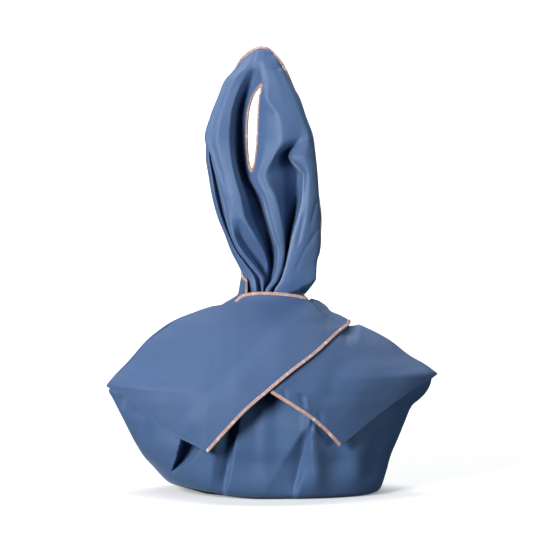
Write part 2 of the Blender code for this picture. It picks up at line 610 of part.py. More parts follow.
SLIT_LOW, SLIT_HIGH = 318.0, 401.0
SLIT_MIDDLE, SLIT_HALF_LENGTH = (SLIT_LOW + SLIT_HIGH) / 2, (SLIT_HIGH - SLIT_LOW) / 2
SLIT_HALF_WIDTH = 7.5
SLIT_END_EXTRA, SLIT_SIDE_EXTRA = 1.5, 0.5  # added to the setback at the slit's ends and sides
SLIT_END_DRAW = 3.0  # how much longer than wide the tape's inner edge runs at the slit's pointed ends
SLIT_LIE = np.array([0.81, -0.58, 0.0])  # the way across the hand slit: its left side lies further back
SLIT_FACING = np.array([-0.58, -0.81, 0.0])
TIP_SETBACK, TIP_SIDE_EXTRA = 4.0, 1.2  # from the binding's centre line at the tip, and added beside the tip
EAR_STEPS = 2  # columns between one fold line and the next
EAR_FADE = 6.0  # so that only the columns next to a bound edge are drawn in
FADE_ENDS = (395.0, 425.0)  # between these heights every column comes to be drawn in evenly
ROWS_BELOW_SLIT, ROWS_BESIDE_SLIT, ROWS_ABOVE_SLIT = 20, 14, 7
EDGE_BINDING_RINGS, SLIT_BINDING_RINGS = 60, 36


def ear_fold_lines(height):
    """Every fold line's place at each height, as points by height and line."""
    x = through(EAR_LEVELS, np.array([row[1] for row in EAR_FOLDS], float).T, height)
    y = through(EAR_LEVELS, np.array([row[2] for row in EAR_FOLDS], float).T, height)
    across = 2 * (x - x[:, :1]) / (x[:, -1:] - x[:, :1]) - 1
    arch = TIP_ARCH * smooth(TIP_FROM, EAR_TIP, height)[:, None] * np.clip(across, -1, 1) ** 2
    return np.stack([x, y, np.asarray(height, float)[:, None] - arch], axis=-1)


def ear_halves(height, half_width, half_length):
    """The ear's rows of points left and right of the hand slit, with a pointed oval hole cut for the slit."""
    lines = ear_fold_lines(height)
    across = (height - SLIT_MIDDLE) / half_length
    opened = half_width * np.sqrt(np.clip(1 - across**2, 0.0, None))[:, None]
    left = [lines[:, :SLIT_FOLD], (lines[:, SLIT_FOLD] - opened * SLIT_LIE)[:, None]]
    right = [(lines[:, SLIT_FOLD] + opened * SLIT_LIE)[:, None], lines[:, SLIT_FOLD + 1 :]]
    halves = []
    for parts in (left, right):
        knots = np.concatenate(parts, axis=1)
        count = knots.shape[1]
        at = np.linspace(0, count - 1, EAR_STEPS * (count - 1) + 1)
        halves.append(np.array([through(np.arange(count), row, at) for row in knots]))
    return halves


def ear_halves_in_rows():
    """The ear's rows up to its tip, left and right of the hand slit, and their heights."""
    half_length = SLIT_HALF_LENGTH + EDGE_SETBACK + SLIT_END_EXTRA
    below = np.linspace(EAR_FOOT, SLIT_MIDDLE - half_length, ROWS_BELOW_SLIT)
    beside = SLIT_MIDDLE - half_length * np.cos(np.linspace(0, math.pi, ROWS_BESIDE_SLIT))
    above = np.linspace(SLIT_MIDDLE + half_length, EAR_TIP, ROWS_ABOVE_SLIT)
    height = np.concatenate([below, beside[1:], above[1:]])
    left, right = ear_halves(height, SLIT_HALF_WIDTH + EDGE_SETBACK + SLIT_SIDE_EXTRA, half_length)
    return left, right, height


def make_ear(cloth):
    left, right, height = ear_halves_in_rows()
    setback = EDGE_SETBACK + TIP_SIDE_EXTRA * smooth(EAR_TIP - 16, EAR_TIP - 4, height)
    fade = EAR_FADE + (1 - EAR_FADE) * smooth(*FADE_ENDS, height)
    left, right = cut_back(left, setback, 0.0, fade)[::-1], cut_back(right, 0.0, setback, fade)[::-1]
    for half in (left, right):
        half[0] += (half[1] - half[0]) * TIP_SETBACK / (half[0] - half[1])[:, 2:]
    sheet("ear", surface("ear", [left, right]), cloth)


def make_ear_edge_binding(tape):
    """The tape that runs up the ear's left edge, over its tip and down its right edge."""
    left, right, _ = ear_halves_in_rows()
    whole = np.concatenate([left, right[:, 1:]], axis=1)
    facing = normals_of(whole)
    edge = np.concatenate([whole[1:-1, 0], whole[-1], whole[-2:0:-1, -1]])
    outward = np.concatenate([facing[1:-1, 0], facing[-1], facing[-2:0:-1, -1]])
    path, outward = recut(edge, EDGE_BINDING_RINGS), -recut(outward, EDGE_BINDING_RINGS)
    binding("ear_edge_binding", path - outward * CLOTH / 2, outward, tape)


def make_slit_binding(tape):
    """The tape round the hand slit: an oval whose two sides run together at its pointed ends."""
    turn = np.linspace(0, 2 * math.pi, SLIT_BINDING_RINGS, endpoint=False)
    rows = []
    for out, front in TAPE_OUTLINE:
        height = SLIT_MIDDLE + (SLIT_HALF_LENGTH + (out if out > 0 else SLIT_END_DRAW * out)) * np.cos(turn)
        line = ear_fold_lines(height)[:, SLIT_FOLD]
        across = (SLIT_HALF_WIDTH + out) * np.sin(turn)[:, None]
        rows.append(line + across * SLIT_LIE + (front - CLOTH / 2) * SLIT_FACING)
    swept("hand_slit_binding", np.stack(rows, axis=1), tape, ring=True)


def main():
    for old in list(bpy.data.objects):
        bpy.data.objects.remove(old, do_unlink=True)
    make_sack(material("sack_cloth", SACK_BLUE, CLOTH_ROUGHNESS))
    make_left_wing(material("left_wing_cloth", LEFT_BLUE, CLOTH_ROUGHNESS))
    make_wing_binding("left_wing_binding", left_face, LEFT_TRIM, tape_material("left_wing_tape"))
    make_right_wing(material("right_wing_cloth", RIGHT_BLUE, CLOTH_ROUGHNESS))
    make_wing_binding("right_wing_binding", right_face, RIGHT_TRIM, tape_material("right_wing_tape"))
    make_neck_binding(tape_material("neck_tape"))
    make_ear(material("ear_cloth", EAR_BLUE, CLOTH_ROUGHNESS))
    make_ear_edge_binding(tape_material("ear_edge_tape"))
    make_slit_binding(tape_material("hand_slit_tape"))


main()
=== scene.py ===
"""Furoshiki wrap: blue twill cloth folded into a bag, with crossed wings, a gathered ear and pink bindings.

Tables are in millimetres. X is to the viewer's right, -Y is the front and +Z is up.
"""

import math

import bmesh
import bpy
import numpy as np
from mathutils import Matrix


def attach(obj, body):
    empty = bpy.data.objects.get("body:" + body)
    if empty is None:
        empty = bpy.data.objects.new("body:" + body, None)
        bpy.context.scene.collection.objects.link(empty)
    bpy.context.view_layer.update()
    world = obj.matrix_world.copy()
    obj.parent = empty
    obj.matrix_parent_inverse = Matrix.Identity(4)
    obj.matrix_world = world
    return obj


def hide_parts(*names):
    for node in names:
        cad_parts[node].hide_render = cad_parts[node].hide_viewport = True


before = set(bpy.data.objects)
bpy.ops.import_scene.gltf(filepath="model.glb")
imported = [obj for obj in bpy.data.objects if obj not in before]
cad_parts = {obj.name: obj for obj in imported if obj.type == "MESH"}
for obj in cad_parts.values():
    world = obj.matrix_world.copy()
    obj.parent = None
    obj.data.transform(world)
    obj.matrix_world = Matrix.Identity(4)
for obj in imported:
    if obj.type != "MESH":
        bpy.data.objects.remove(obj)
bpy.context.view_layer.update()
scene = bpy.context.scene


# ---- The studio: a pale paper sweep, a soft key light at the front left, a weaker blue fill on the right,
# ---- and two lights from above, one on the wrap's top and one on the paper. The camera stands 3.5 m away
# ---- and a little above the table, so the wrap is seen almost without perspective.

CAMERA_DISTANCE = 3.5
CAMERA_RISE = math.radians(5)
CAMERA_TARGET = np.array([0.0, 0.0, 0.217])
VIEW_HALF_WIDTH = 0.2683  # what half the picture covers at the target
WRAP_MIDDLE, PAPER_BACK = (0.0, 0.0, 0.2), (0.0, 4.3, 0.3)

# Each light's name, place, size, power in watts, colour, and what it is aimed at
STUDIO_LIGHTS = (
    ("key", (-1.32, -1.68, 0.85), (0.7, 0.7), 68.0, (0.97, 0.985, 1.0), WRAP_MIDDLE),
    ("fill", (2.5, -1.7, 0.35), (1.2, 1.2), 31.0, (0.8, 0.93, 1.0), WRAP_MIDDLE),
    ("top", (0.0, 0.55, 2.6), (3.0, 0.5), 60.0, (1.0, 1.0, 1.0), WRAP_MIDDLE),
    ("wall", (0.0, 2.3, 2.4), (4.0, 0.6), 110.0, (1.0, 1.0, 1.0), PAPER_BACK),
)


def placed(name, data):
    """An object in the scene."""
    made = bpy.data.objects.new(name, data)
    scene.collection.objects.link(made)
    return made


def aimed(name, data, place, target):
    """An object of the studio that looks from its place at a target."""
    made = placed(name, data)
    made.location = place
    away = np.array(place) - np.array(target)
    flat = math.hypot(away[0], away[1])
    made.rotation_euler = (math.atan2(flat, away[2]), 0.0, math.atan2(away[0], -away[1]))
    return made


lens = bpy.data.cameras.new("camera")
lens.angle = 2 * math.atan(VIEW_HALF_WIDTH / CAMERA_DISTANCE)
lens.clip_end = 20.0
stand = CAMERA_TARGET + CAMERA_DISTANCE * np.array([0.0, -math.cos(CAMERA_RISE), math.sin(CAMERA_RISE)])
scene.camera = aimed("camera", lens, stand, CAMERA_TARGET)

for name, place, size, power, colour, target in STUDIO_LIGHTS:
    light = bpy.data.lights.new(name, "AREA")
    light.shape = "RECTANGLE"
    light.size, light.size_y = size
    light.energy = power
    light.color = colour
    aimed(name, light, place, target)

scene.view_settings.view_transform = "Standard"
world = bpy.data.worlds.new("studio")
scene.world = world
world.use_nodes = True
world.node_tree.nodes["Background"].inputs["Color"].default_value = (0.6, 0.85, 1.0, 1.0)
world.node_tree.nodes["Background"].inputs["Strength"].default_value = 0.03

SWEEP_HALF_WIDTH = 3.0
SWEEP_FRONT, SWEEP_BACK = -9.0, 3.6
SWEEP_RADIUS, SWEEP_HEIGHT = 0.8, 2.6

bend = np.linspace(0.0, math.pi / 2, 17)
profile = [(SWEEP_FRONT, 0.0)]
profile += [(SWEEP_BACK + SWEEP_RADIUS * math.sin(a), SWEEP_RADIUS * (1 - math.cos(a))) for a in bend]
profile.append((SWEEP_BACK + SWEEP_RADIUS, SWEEP_HEIGHT))
points = [(side * SWEEP_HALF_WIDTH, y, z) for y, z in profile for side in (-1, 1)]
faces = [(2 * i, 2 * i + 1, 2 * i + 3, 2 * i + 2) for i in range(len(profile) - 1)]
sweep_mesh = bpy.data.meshes.new("paper_sweep")
sweep_mesh.from_pydata(points, [], faces)
sweep_mesh.shade_smooth()
sweep = placed("paper_sweep", sweep_mesh)
sweep.visible_diffuse = False
sweep.visible_glossy = False
paper = bpy.data.materials.new("pale_paper")
paper.use_nodes = True
paper_shader = paper.node_tree.nodes["Principled BSDF"]
paper_shader.inputs["Base Color"].default_value = (0.9, 0.9, 0.9, 1.0)
paper_shader.inputs["Roughness"].default_value = 0.9
paper_shader.inputs["Emission Color"].default_value = (1.0, 1.0, 1.0, 1.0)
paper_shader.inputs["Emission Strength"].default_value = 0.25
sweep_mesh.materials.append(paper)


# ---- The sack: the middle of one square of polyester twill, drawn up round what it holds into a rounded bag.
# ---- Its front falls in soft folds from under the wings, and its back gathers into the neck.

MM = 0.001
CLOTH = 0.8  # thickness of the cloth as it is seen at its edges

# Level sections, with reaches from the middle and "point" from blunt to two sharp corners:
# height, left reach, right reach, front reach, back reach, point
SACK_SECTIONS = (
    (0.0, 99, 102, 60, 49, 0.36),
    (1.5, 103.5, 105.5, 65, 55, 0.37),
    (5.0, 108, 108.5, 69, 60, 0.39),
    (12.0, 113.5, 111, 72, 65, 0.41),
    (20.0, 118.5, 113.5, 74, 69, 0.44),
    (36.0, 128.5, 118, 76, 73, 0.48),
    (52.0, 138, 125, 78, 75.5, 0.54),
    (68.0, 146, 131.5, 78, 76, 0.64),
    (84.0, 154, 138.5, 76, 74, 0.76),
    (92.0, 158, 147.5, 74.5, 72.5, 0.86),
    (99.0, 161.5, 153.5, 73, 71, 0.93),
    (108.0, 155.5, 157.5, 71, 69, 0.97),
    (116.0, 148, 158.5, 69, 67, 0.95),
    (125.0, 138.5, 146.5, 65.5, 64, 0.94),
    (134.5, 130, 130.5, 59.5, 59.5, 0.93),
    (150.0, 115.5, 107, 47, 51, 0.90),
    (156.0, 107, 91, 41, 47, 0.88),
    (162.5, 98, 68, 34, 42, 0.85),
    (168.0, 87, 56, 28.5, 37, 0.80),
    (175.0, 71, 45, 21.5, 30, 0.72),
    (181.0, 52, 38.5, 15, 22, 0.60),
    (187.0, 34.5, 34.5, 12.5, 14.2, 0.50),
)

# Folds: upper x and z, lower x and z, half widths left and right at the upper end, then at the lower end,
# depth, and kind: 1 is a sharp crease between flat sides, 2 a round fold, and 10 one with steep walls
CREASE, STEEP = 1, 10
SACK_FRONT_FOLDS = (
    (-64.5, 80, -99.5, 13, 16, 16, 0.8, 0.8, 24, 10),  # the deep pocket below the left wing's fold
    (-31.5, 96, -48.5, -6, 20, 3, 12, 2.5, 12, 1),  # the crease right of the left wing's tip
    (-2, 120, -5, 6, 38, 38, 30, 30, 9, 2),  # the broad hollow below the crossing
    (-7, 116, -7, 8, 7, 7, 9, 9, -2.5, 2),  # the soft rib in that hollow
    (41.5, 86, 17, -6, 1, 3, 33, 6, 9, 1),  # the slanting crease left of the sharp pleat
    (34, 98, 46, 0, 4, 6, 10, 11, -7.5, 2),  # the sharp pleat
    (64, 90, 66, 18, 9, 12, 12, 12, 3.5, 2),  # the hollow below the right wing's tip
    (83, 62, 84, 6, 8, 8, 10, 10, -2, 2),  # the soft falls towards the right end
    (106, 66, 98, 8, 9, 9, 12, 12, 3.5, 2),
    (-122, 94, -132, 44, 9, 9, 8, 8, 5, 2),  # and towards the left end
    (-139, 114, -147, 72, 11, 11, 8, 8, 8, 2),
)
SACK_BACK_FOLDS = (
    (-20, 192, -78, 36, 5, 5, 14, 14, 7, 2),
    (-7, 194, -26, 26, 5, 3, 19, 13, 8, 2),
    (8, 194, 22, 32, 3, 5, 12, 18, 7, 2),
    (18, 192, 74, 40, 5, 5, 15, 15, 8, 2),
    (-26, 186, -118, 66, 5, 5, 12, 12, 6, 2),
    (26, 186, 112, 62, 5, 5, 13, 13, 6, 2),
)
FOLD_FADES, STEEP_FADES = (0.3, 0.3), (0.1, 0.6)  # the shares of a fold's length that fade in, and out
CREASE_BOTTOM, CREASE_EDGE = 1.2, 0.006  # how far a crease's bottom and its two edges are rounded
FOLDS_IN_FRONT, FOLDS_BEHIND = (0.0, 0.45), (0.0, 0.5)  # sines of the angles over which the folds set in
RIM_FROM, RIM_SIDE, RIM_BACK = 178.0, 189.5, 196.0  # the neck's foot, then the rim at the sides and the back
NECK_FROM = 195.0  # above this the neck runs straight up
RIM_RIGHT_DROP = 3.0  # the rim sags behind the ear's right side
CORNER_RISE = 30.0  # one corner of the rim is pulled up behind the ear's left side
CORNER_SLOPE = 0.3  # the share of that rise that is lost again towards the corner's front
CORNER_FROM, CORNER_TOP, CORNER_LAST, CORNER_END = (math.radians(a) for a in (118, 150, 213, 223))
NECK_NARROWING = 0.0045  # how much slimmer the pulled-up corner is with each millimetre that it rises
BASE_LIFT = 9.0  # how far the base's left end lies off the ground
LIFT_GROWS, LIFT_FADES = (10, 106), (4, 40)  # how far left of the middle it sets in, and how high up it ends
BASE_FLAT, BASE_MIDDLE = 0.72, 0.02  # the flat rings under the base, each as a share of the one outside it


def smooth(start, end, at):
    """0 before start, 1 after end, and an even ramp between them."""
    t = np.clip((np.asarray(at, float) - start) / (end - start), 0.0, 1.0)
    return t * t * (3.0 - 2.0 * t)


def through(knots, values, at):
    """Reads a smooth curve that passes through values at knots and never overshoots them."""
    knots, values, at = (np.asarray(a, float) for a in (knots, values, at))
    values = values.reshape(len(knots), -1)
    step = np.diff(knots)
    slope = np.diff(values, axis=0) / step[:, None]
    product = slope[:-1] * slope[1:]
    total = np.where(product > 0, slope[:-1] + slope[1:], 1.0)
    inner = np.where(product > 0, 2.0 * product / total, 0.0)
    slopes = np.vstack([slope[:1], inner, slope[-1:]])
    i = np.clip(np.searchsorted(knots, at, "right") - 1, 0, len(step) - 1)
    h = step[i][..., None]
    t = (at - knots[i])[..., None] / h
    a, b, m, n = values[i], values[i + 1], slopes[i] * h, slopes[i + 1] * h
    return a + t * m + t**2 * (3 * (b - a) - 2 * m - n) + t**3 * (2 * (a - b) + m + n)


def section(table, height):
    """The columns of a section table after its first, read at each height."""
    rows = np.array(table, float)
    height = np.clip(height, rows[0, 0], rows[-1, 0])
    return np.moveaxis(through(rows[:, 0], rows[:, 1:], height), -1, 0)


def fold_depth(folds, x, z):
    """How far the folds sink the cloth at a place seen from the front."""
    depth = np.zeros(np.broadcast(x, z).shape)
    for upper_x, upper_z, lower_x, lower_z, *widths, sink, kind in folds:
        share = (upper_z - z) / (upper_z - lower_z)
        fade_in, fade_out = STEEP_FADES if kind == STEEP else FOLD_FADES
        run = smooth(0.0, fade_in, share) * smooth(0.0, fade_out, 1.0 - share)
        within = np.clip(share, 0.0, 1.0)
        beside = x - upper_x - (lower_x - upper_x) * within
        left, right = (widths[k] + (widths[k + 2] - widths[k]) * within for k in (0, 1))
        if kind == CREASE:
            hinge = np.sqrt(beside**2 + CREASE_BOTTOM)
            inside = 1.0 - 0.5 * ((hinge + beside) / right + (hinge - beside) / left)
            shape = 0.5 * (inside + np.sqrt(inside**2 + CREASE_EDGE))
        else:
            shape = np.exp(-(np.abs(beside / np.where(beside < 0, left, right)) ** kind))
        depth += sink * run * shape
    return depth


def rim_height(angle):
    """The height of the binding's centre line round the sack's mouth."""
    angle = np.mod(angle, math.tau)
    behind = smooth(0.0, 0.5, np.sin(angle))
    height = RIM_SIDE + (RIM_BACK - RIM_SIDE) * behind
    height = height - RIM_RIGHT_DROP * behind * smooth(-0.2, 0.3, np.cos(angle))
    rise = smooth(CORNER_FROM, CORNER_TOP, angle) * (1 - smooth(CORNER_LAST, CORNER_END, angle))
    return height + CORNER_RISE * rise * (1 - CORNER_SLOPE * smooth(CORNER_TOP, CORNER_LAST, angle))


def sack_points(angle, height):
    """Points of the sack's outer face: angle 0 is the right end, a quarter turn the back."""
    left, right, front, back, point = section(SACK_SECTIONS, height)
    along, out = np.cos(angle), np.sin(angle)
    x = along * np.where(along > 0, right, left)
    y = np.sign(out) * np.where(out > 0, back, front) * np.abs(out) ** (2 * point)
    sunk = fold_depth(SACK_FRONT_FOLDS, x, height) * smooth(*FOLDS_IN_FRONT, -out)
    gathered = fold_depth(SACK_BACK_FOLDS, x, height) * smooth(*FOLDS_BEHIND, out)
    lift = BASE_LIFT * smooth(*LIFT_GROWS, -x) * (1 - smooth(*LIFT_FADES, height))
    return np.stack([x, y + sunk - gathered, height + lift], axis=-1)


def sack_rim(angle, share):
    """A row of the sack's neck, from its foot at share 0 up to the binding's centre line at share 1."""
    height = RIM_FROM + share * (rim_height(angle) - RIM_FROM)
    straight = np.minimum(rim_height(angle), NECK_FROM)
    climbed = np.clip((height - RIM_FROM) / (straight - RIM_FROM), 0.0, 1.0)
    points = sack_points(angle, RIM_FROM + climbed * (SACK_SECTIONS[-1][0] - RIM_FROM))
    points[:, 2] = height
    points[:, 0] *= 1 - NECK_NARROWING * np.clip(points[:, 2] - RIM_SIDE, 0.0, None)
    return points


def surface(name, grid, kept=None, turned=False, painted_highlight=None, even=False):
    """A mesh over a grid of points, with its run along the rows and down the columns in metres as its UV map.

    kept leaves out the points where it is False, and turned faces the mesh the other way. The highlight mask
    says how much painted highlight lies along a pressed fold at each point, and even gives every row the same
    run.
    """
    rows, columns = grid.shape[:2]
    steps_along = np.linalg.norm(np.diff(grid, axis=1), axis=2)
    steps_down = np.linalg.norm(np.diff(grid, axis=0), axis=2)
    if even:
        steps_along = np.repeat(np.median(steps_along, axis=0, keepdims=True), rows, axis=0)
        steps_down = np.repeat(np.median(steps_down, axis=1, keepdims=True), columns, axis=1)
    along = np.concatenate([np.zeros((rows, 1)), np.cumsum(steps_along, axis=1)], axis=1)
    down = np.concatenate([np.zeros((1, columns)), np.cumsum(steps_down, axis=0)], axis=0)
    uv = np.stack([along, down], axis=-1).reshape(-1, 2) * MM
    point = np.arange(rows * columns).reshape(rows, columns)
    quads = np.stack([point[:-1, :-1], point[1:, :-1], point[1:, 1:], point[:-1, 1:]], axis=-1)
    if turned:
        quads = quads[..., ::-1]
    if kept is not None:
        quads = quads[kept[:-1, :-1] & kept[1:, :-1] & kept[1:, 1:] & kept[:-1, 1:]]
    mesh = bpy.data.meshes.new(name)
    mesh.from_pydata((grid.reshape(-1, 3) * MM).tolist(), [], quads.reshape(-1, 4).tolist())
    corner = np.empty(len(mesh.loops), np.int32)
    mesh.loops.foreach_get("vertex_index", corner)
    mesh.uv_layers.new(name="weave").data.foreach_set("uv", uv[corner].ravel())
    # A point attribute that holds the painted highlight along pressed folds, for the twill's colour to read
    painted_highlight = np.zeros((rows, columns)) if painted_highlight is None else painted_highlight
    mask = mesh.attributes.new("painted_highlight", "FLOAT", "POINT")
    mask.data.foreach_set("value", painted_highlight.ravel().astype(np.float32))
    return mesh


def worked_out(made):
    """Gives an object the plain mesh that its modifiers make."""
    graph = bpy.context.evaluated_depsgraph_get()
    mesh = bpy.data.meshes.new_from_object(made.evaluated_get(graph))
    made.modifiers.clear()
    made.data = mesh
    mesh.shade_smooth()
    return mesh


def closed_sheet(name, meshes, finish):
    """A cloth piece. The surfaces are its outer face, welded where they meet; its thickness lies behind."""
    shape = bmesh.new()
    for mesh in meshes:
        shape.from_mesh(mesh)
    bmesh.ops.remove_doubles(shape, verts=shape.verts, dist=1e-6)
    bmesh.ops.delete(shape, geom=[v for v in shape.verts if not v.link_faces], context="VERTS")
    shape.to_mesh(meshes[0])
    shape.free()
    meshes[0].materials.append(finish)
    sheet = placed(name, meshes[0])
    thicken = sheet.modifiers.new("Cloth", "SOLIDIFY")
    thicken.thickness = CLOTH * MM
    thicken.offset = -1
    worked_out(sheet).set_sharp_from_angle(angle=math.radians(55))
    return sheet


SOCKET_KINDS = {float: "NodeSocketFloat", int: "NodeSocketInt", tuple: "NodeSocketColor"}


class NodeTree:
    """A tree of nodes whose inputs are named with their values or, where they have none, their kinds."""

    def __init__(self, kind, name, inputs, outputs):
        self.tree = bpy.data.node_groups.new(name, kind)
        for label, value in inputs.items():
            socket_kind = value if isinstance(value, str) else SOCKET_KINDS[type(value)]
            socket = self.tree.interface.new_socket(label, in_out="INPUT", socket_type=socket_kind)
            if socket_kind != value:
                socket.default_value = value
        for label, socket_kind in outputs.items():
            self.tree.interface.new_socket(label, in_out="OUTPUT", socket_type=socket_kind)
        self.given = self.tree.nodes.new("NodeGroupInput").outputs
        self.out = self.tree.nodes.new("NodeGroupOutput").inputs

    def feed(self, socket, value):
        """Sets a socket to a value, or links it to another node."""
        if isinstance(value, (int, float, tuple)):
            socket.default_value = value
        else:
            self.tree.links.new(value, socket)

    def node(self, kind, fed, **settings):
        """A node with its settings, and with what its sockets are fed."""
        made = self.tree.nodes.new(kind)
        for setting, value in settings.items():
            setattr(made, setting, value)
        for socket, value in fed.items():
            self.feed(made.inputs[socket], value)
        return made


class ThreadGroup(NodeTree):
    """A group of shader nodes that puts out a cloth's colour and normal. Its lengths are in millimetres."""

    def __init__(self, name, inputs):
        outputs = {"Colour": "NodeSocketColor", "Normal": "NodeSocketVector"}
        super().__init__("ShaderNodeTree", name, inputs, outputs)

    def calculate(self, operation, *values):
        """What one sum gives."""
        return self.node("ShaderNodeMath", dict(enumerate(values)), operation=operation).outputs[0]

    def shaded(self, colour, brightness):
        """A colour made darker or brighter."""
        fed = {0: colour, "Scale": brightness}
        return self.node("ShaderNodeVectorMath", fed, operation="SCALE").outputs[0]

    def mixed(self, share, first, second):
        """The first colour with a share of the second."""
        fed = {0: share, 6: first, 7: second}
        return self.node("ShaderNodeMix", fed, data_type="RGBA").outputs[2]

    def noise(self, scale, detail):
        """Noise that is fixed to the piece."""
        place = self.node("ShaderNodeTexCoord", {}).outputs["Object"]
        fed = {"Vector": place, "Scale": scale, "Detail": detail}
        return self.node("ShaderNodeTexNoise", fed).outputs["Fac"]

    def bumped(self, height, under=None):
        """The normal of a relief, which may lie on the normal of another one under it."""
        fed = {"Distance": MM, "Height": height}
        if under is not None:
            fed["Normal"] = under
        return self.node("ShaderNodeBump", fed).outputs["Normal"]

    def cloth_place(self):
        """The place on the cloth, across and along."""
        uv = self.node("ShaderNodeUVMap", {}, uv_map="weave").outputs["UV"]
        split = self.node("ShaderNodeSeparateXYZ", {"Vector": uv}).outputs
        return [self.calculate("DIVIDE", split[axis], MM) for axis in ("X", "Y")]


def twill_threads():
    """A fine twill: diagonal ribs over small threads, soft rumples, uneven patches and a painted highlight
    along pressed folds.
    """
    twill = ThreadGroup("fine_twill", {
        "Colour": (0.1, 0.2, 0.4, 1.0),
        "Twill Pitch": 1.5,
        "Twill Height": 0.045,
        "Twill Shade": 0.05,
        "Thread Turns": math.tau / 0.7,
        "Thread Share": 0.3,
        "Rumple Scale": 42.0,
        "Rumple Height": 0.35,
        "Patch Scale": 26.0,
        "Patch Strength": 0.2,
        "Grain Scale": 900.0,
        "Grain Strength": 0.12,
        "Highlight Colour": (0.42, 0.52, 0.7, 1.0),
        "Highlight Strength": 0.5,
    })
    given, calculate = twill.given, twill.calculate
    across, along = twill.cloth_place()
    turns = calculate("DIVIDE", calculate("ADD", across, along), given["Twill Pitch"])
    ribs = calculate("SINE", calculate("MULTIPLY", turns, math.tau))
    crossing = calculate("MULTIPLY", calculate("SUBTRACT", across, along), given["Thread Turns"])
    threads = calculate("SINE", crossing)
    weave = calculate("ADD", ribs, calculate("MULTIPLY", threads, given["Thread Share"]))
    rumple = calculate("MULTIPLY", twill.noise(given["Rumple Scale"], 2.0), given["Rumple Height"])
    relief = calculate("MULTIPLY", weave, given["Twill Height"])
    twill.feed(twill.out["Normal"], twill.bumped(relief, twill.bumped(rumple)))
    patches = calculate("SUBTRACT", twill.noise(given["Patch Scale"], 3.0), 0.5)
    grain = calculate("SUBTRACT", twill.noise(given["Grain Scale"], 1.0), 0.5)
    brightness = 1.0
    for mark, strength in ((patches, "Patch Strength"), (ribs, "Twill Shade"), (grain, "Grain Strength")):
        brightness = calculate("ADD", calculate("MULTIPLY", mark, given[strength]), brightness)
    # Painted highlight: a pale colour is mixed into the dye along pressed folds, by the mask that the mesh
    # holds
    fold_highlight = twill.node("ShaderNodeAttribute", {}, attribute_name="painted_highlight").outputs["Fac"]
    share = calculate("MULTIPLY", fold_highlight, given["Highlight Strength"])
    dyed = twill.shaded(given["Colour"], brightness)
    twill.feed(twill.out["Colour"], twill.mixed(share, dyed, given["Highlight Colour"]))
    return twill.tree


TWILL = twill_threads()


def woven(name, threads, colour, finish, relief=True):
    """A material of threads in a colour, with the rest of its finish by the shader's sockets."""
    made = bpy.data.materials.new(name)
    made.use_nodes = True
    nodes, links = made.node_tree.nodes, made.node_tree.links
    shader = nodes["Principled BSDF"]
    weave = nodes.new("ShaderNodeGroup")
    weave.node_tree = threads
    weave.inputs["Colour"].default_value = (*colour, 1.0)
    links.new(weave.outputs["Colour"], shader.inputs["Base Color"])
    if relief:
        links.new(weave.outputs["Normal"], shader.inputs["Normal"])
    for socket, value in finish.items():
        shader.inputs[socket].default_value = value
    return made


def twill_cloth(name, colour, roughness=0.5, specular=0.32):
    """Blue polyester twill with a soft satin gloss and a faint nap at grazing angles."""
    return woven(name, TWILL, colour, {
        "Roughness": roughness,
        "Specular IOR Level": specular,
        "Sheen Weight": 0.35,
        "Sheen Roughness": 0.45,
        "Sheen Tint": (0.62, 0.74, 1.0, 1.0),
    })


# The sack's blue. The wings and the ear are the same square of twill; their colours below are copies of it,
# painted darker or lighter for light and shade
SACK_BLUE = (0.060, 0.118, 0.246)
SACK_COLUMNS_FRONT, SACK_COLUMNS_BACK, SACK_ROWS, RIM_ROWS = 256, 70, 128, 12
SACK_ROWS_TOP, SACK_ROWS_CROWDED = 173.0, 1.15  # the rows below the neck, closer together towards the base
ENDS_CROWDED = 0.6  # how strongly the front's columns crowd towards the sack's two ends
EDGE_BELOW_RIM, RIM_STEEPEST = 1.2, 2.5  # how far the cloth stops short of the binding's middle, square to it
EDGE_UNDER_WING = 3.0  # and how much further where the left wing lies over it

across = np.linspace(0, 1, SACK_COLUMNS_FRONT, endpoint=False)
front_angle = math.pi + ENDS_CROWDED * np.arccos(1 - 2 * across) + (1 - ENDS_CROWDED) * math.pi * across
back_angle = np.linspace(0, math.pi, SACK_COLUMNS_BACK + 1)
sack_angle = np.concatenate([front_angle, back_angle])
row_heights = SACK_ROWS_TOP * np.linspace(0, 1, SACK_ROWS) ** SACK_ROWS_CROWDED
sack_rows = [sack_points(sack_angle, np.full_like(sack_angle, height)) for height in row_heights]
for share in (BASE_FLAT, BASE_MIDDLE):
    sack_rows.insert(0, sack_rows[0] * (share, share, 0))
rim = sack_rim(sack_angle, 1.0)
slope = sack_rim(sack_angle + 0.01, 1.0) - sack_rim(sack_angle - 0.01, 1.0)
slanting = np.linalg.norm(slope, axis=1) / np.linalg.norm(slope[:, :2], axis=1)
past_corner = smooth(CORNER_LAST, CORNER_END, np.mod(sack_angle, math.tau))
under_wing = past_corner * (1 - smooth(-0.1, 0.15, np.sin(sack_angle)))
rim_drop = EDGE_BELOW_RIM * np.minimum(slanting, RIM_STEEPEST) + EDGE_UNDER_WING * under_wing
for share in np.linspace(0, 1, RIM_ROWS):
    row = sack_rim(sack_angle, share)
    row[:, 2] = RIM_FROM + share * (rim[:, 2] - rim_drop - RIM_FROM)
    sack_rows.append(row)
sack_mesh = surface("sack_body", np.array(sack_rows), turned=True, even=True)
sack = closed_sheet("sack_body", [sack_mesh], twill_cloth("sack_twill", SACK_BLUE))
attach(sack, "root")
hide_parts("sack")


# ---- The two wings: opposite corners of the same square of twill, folded down over the front and turned
# ---- under along their lower edge. The left one lies over the right one, and its top is the front lip of the
# ---- neck's slit. Each goes over its shoulder into a short lap that lies on the sack's back.

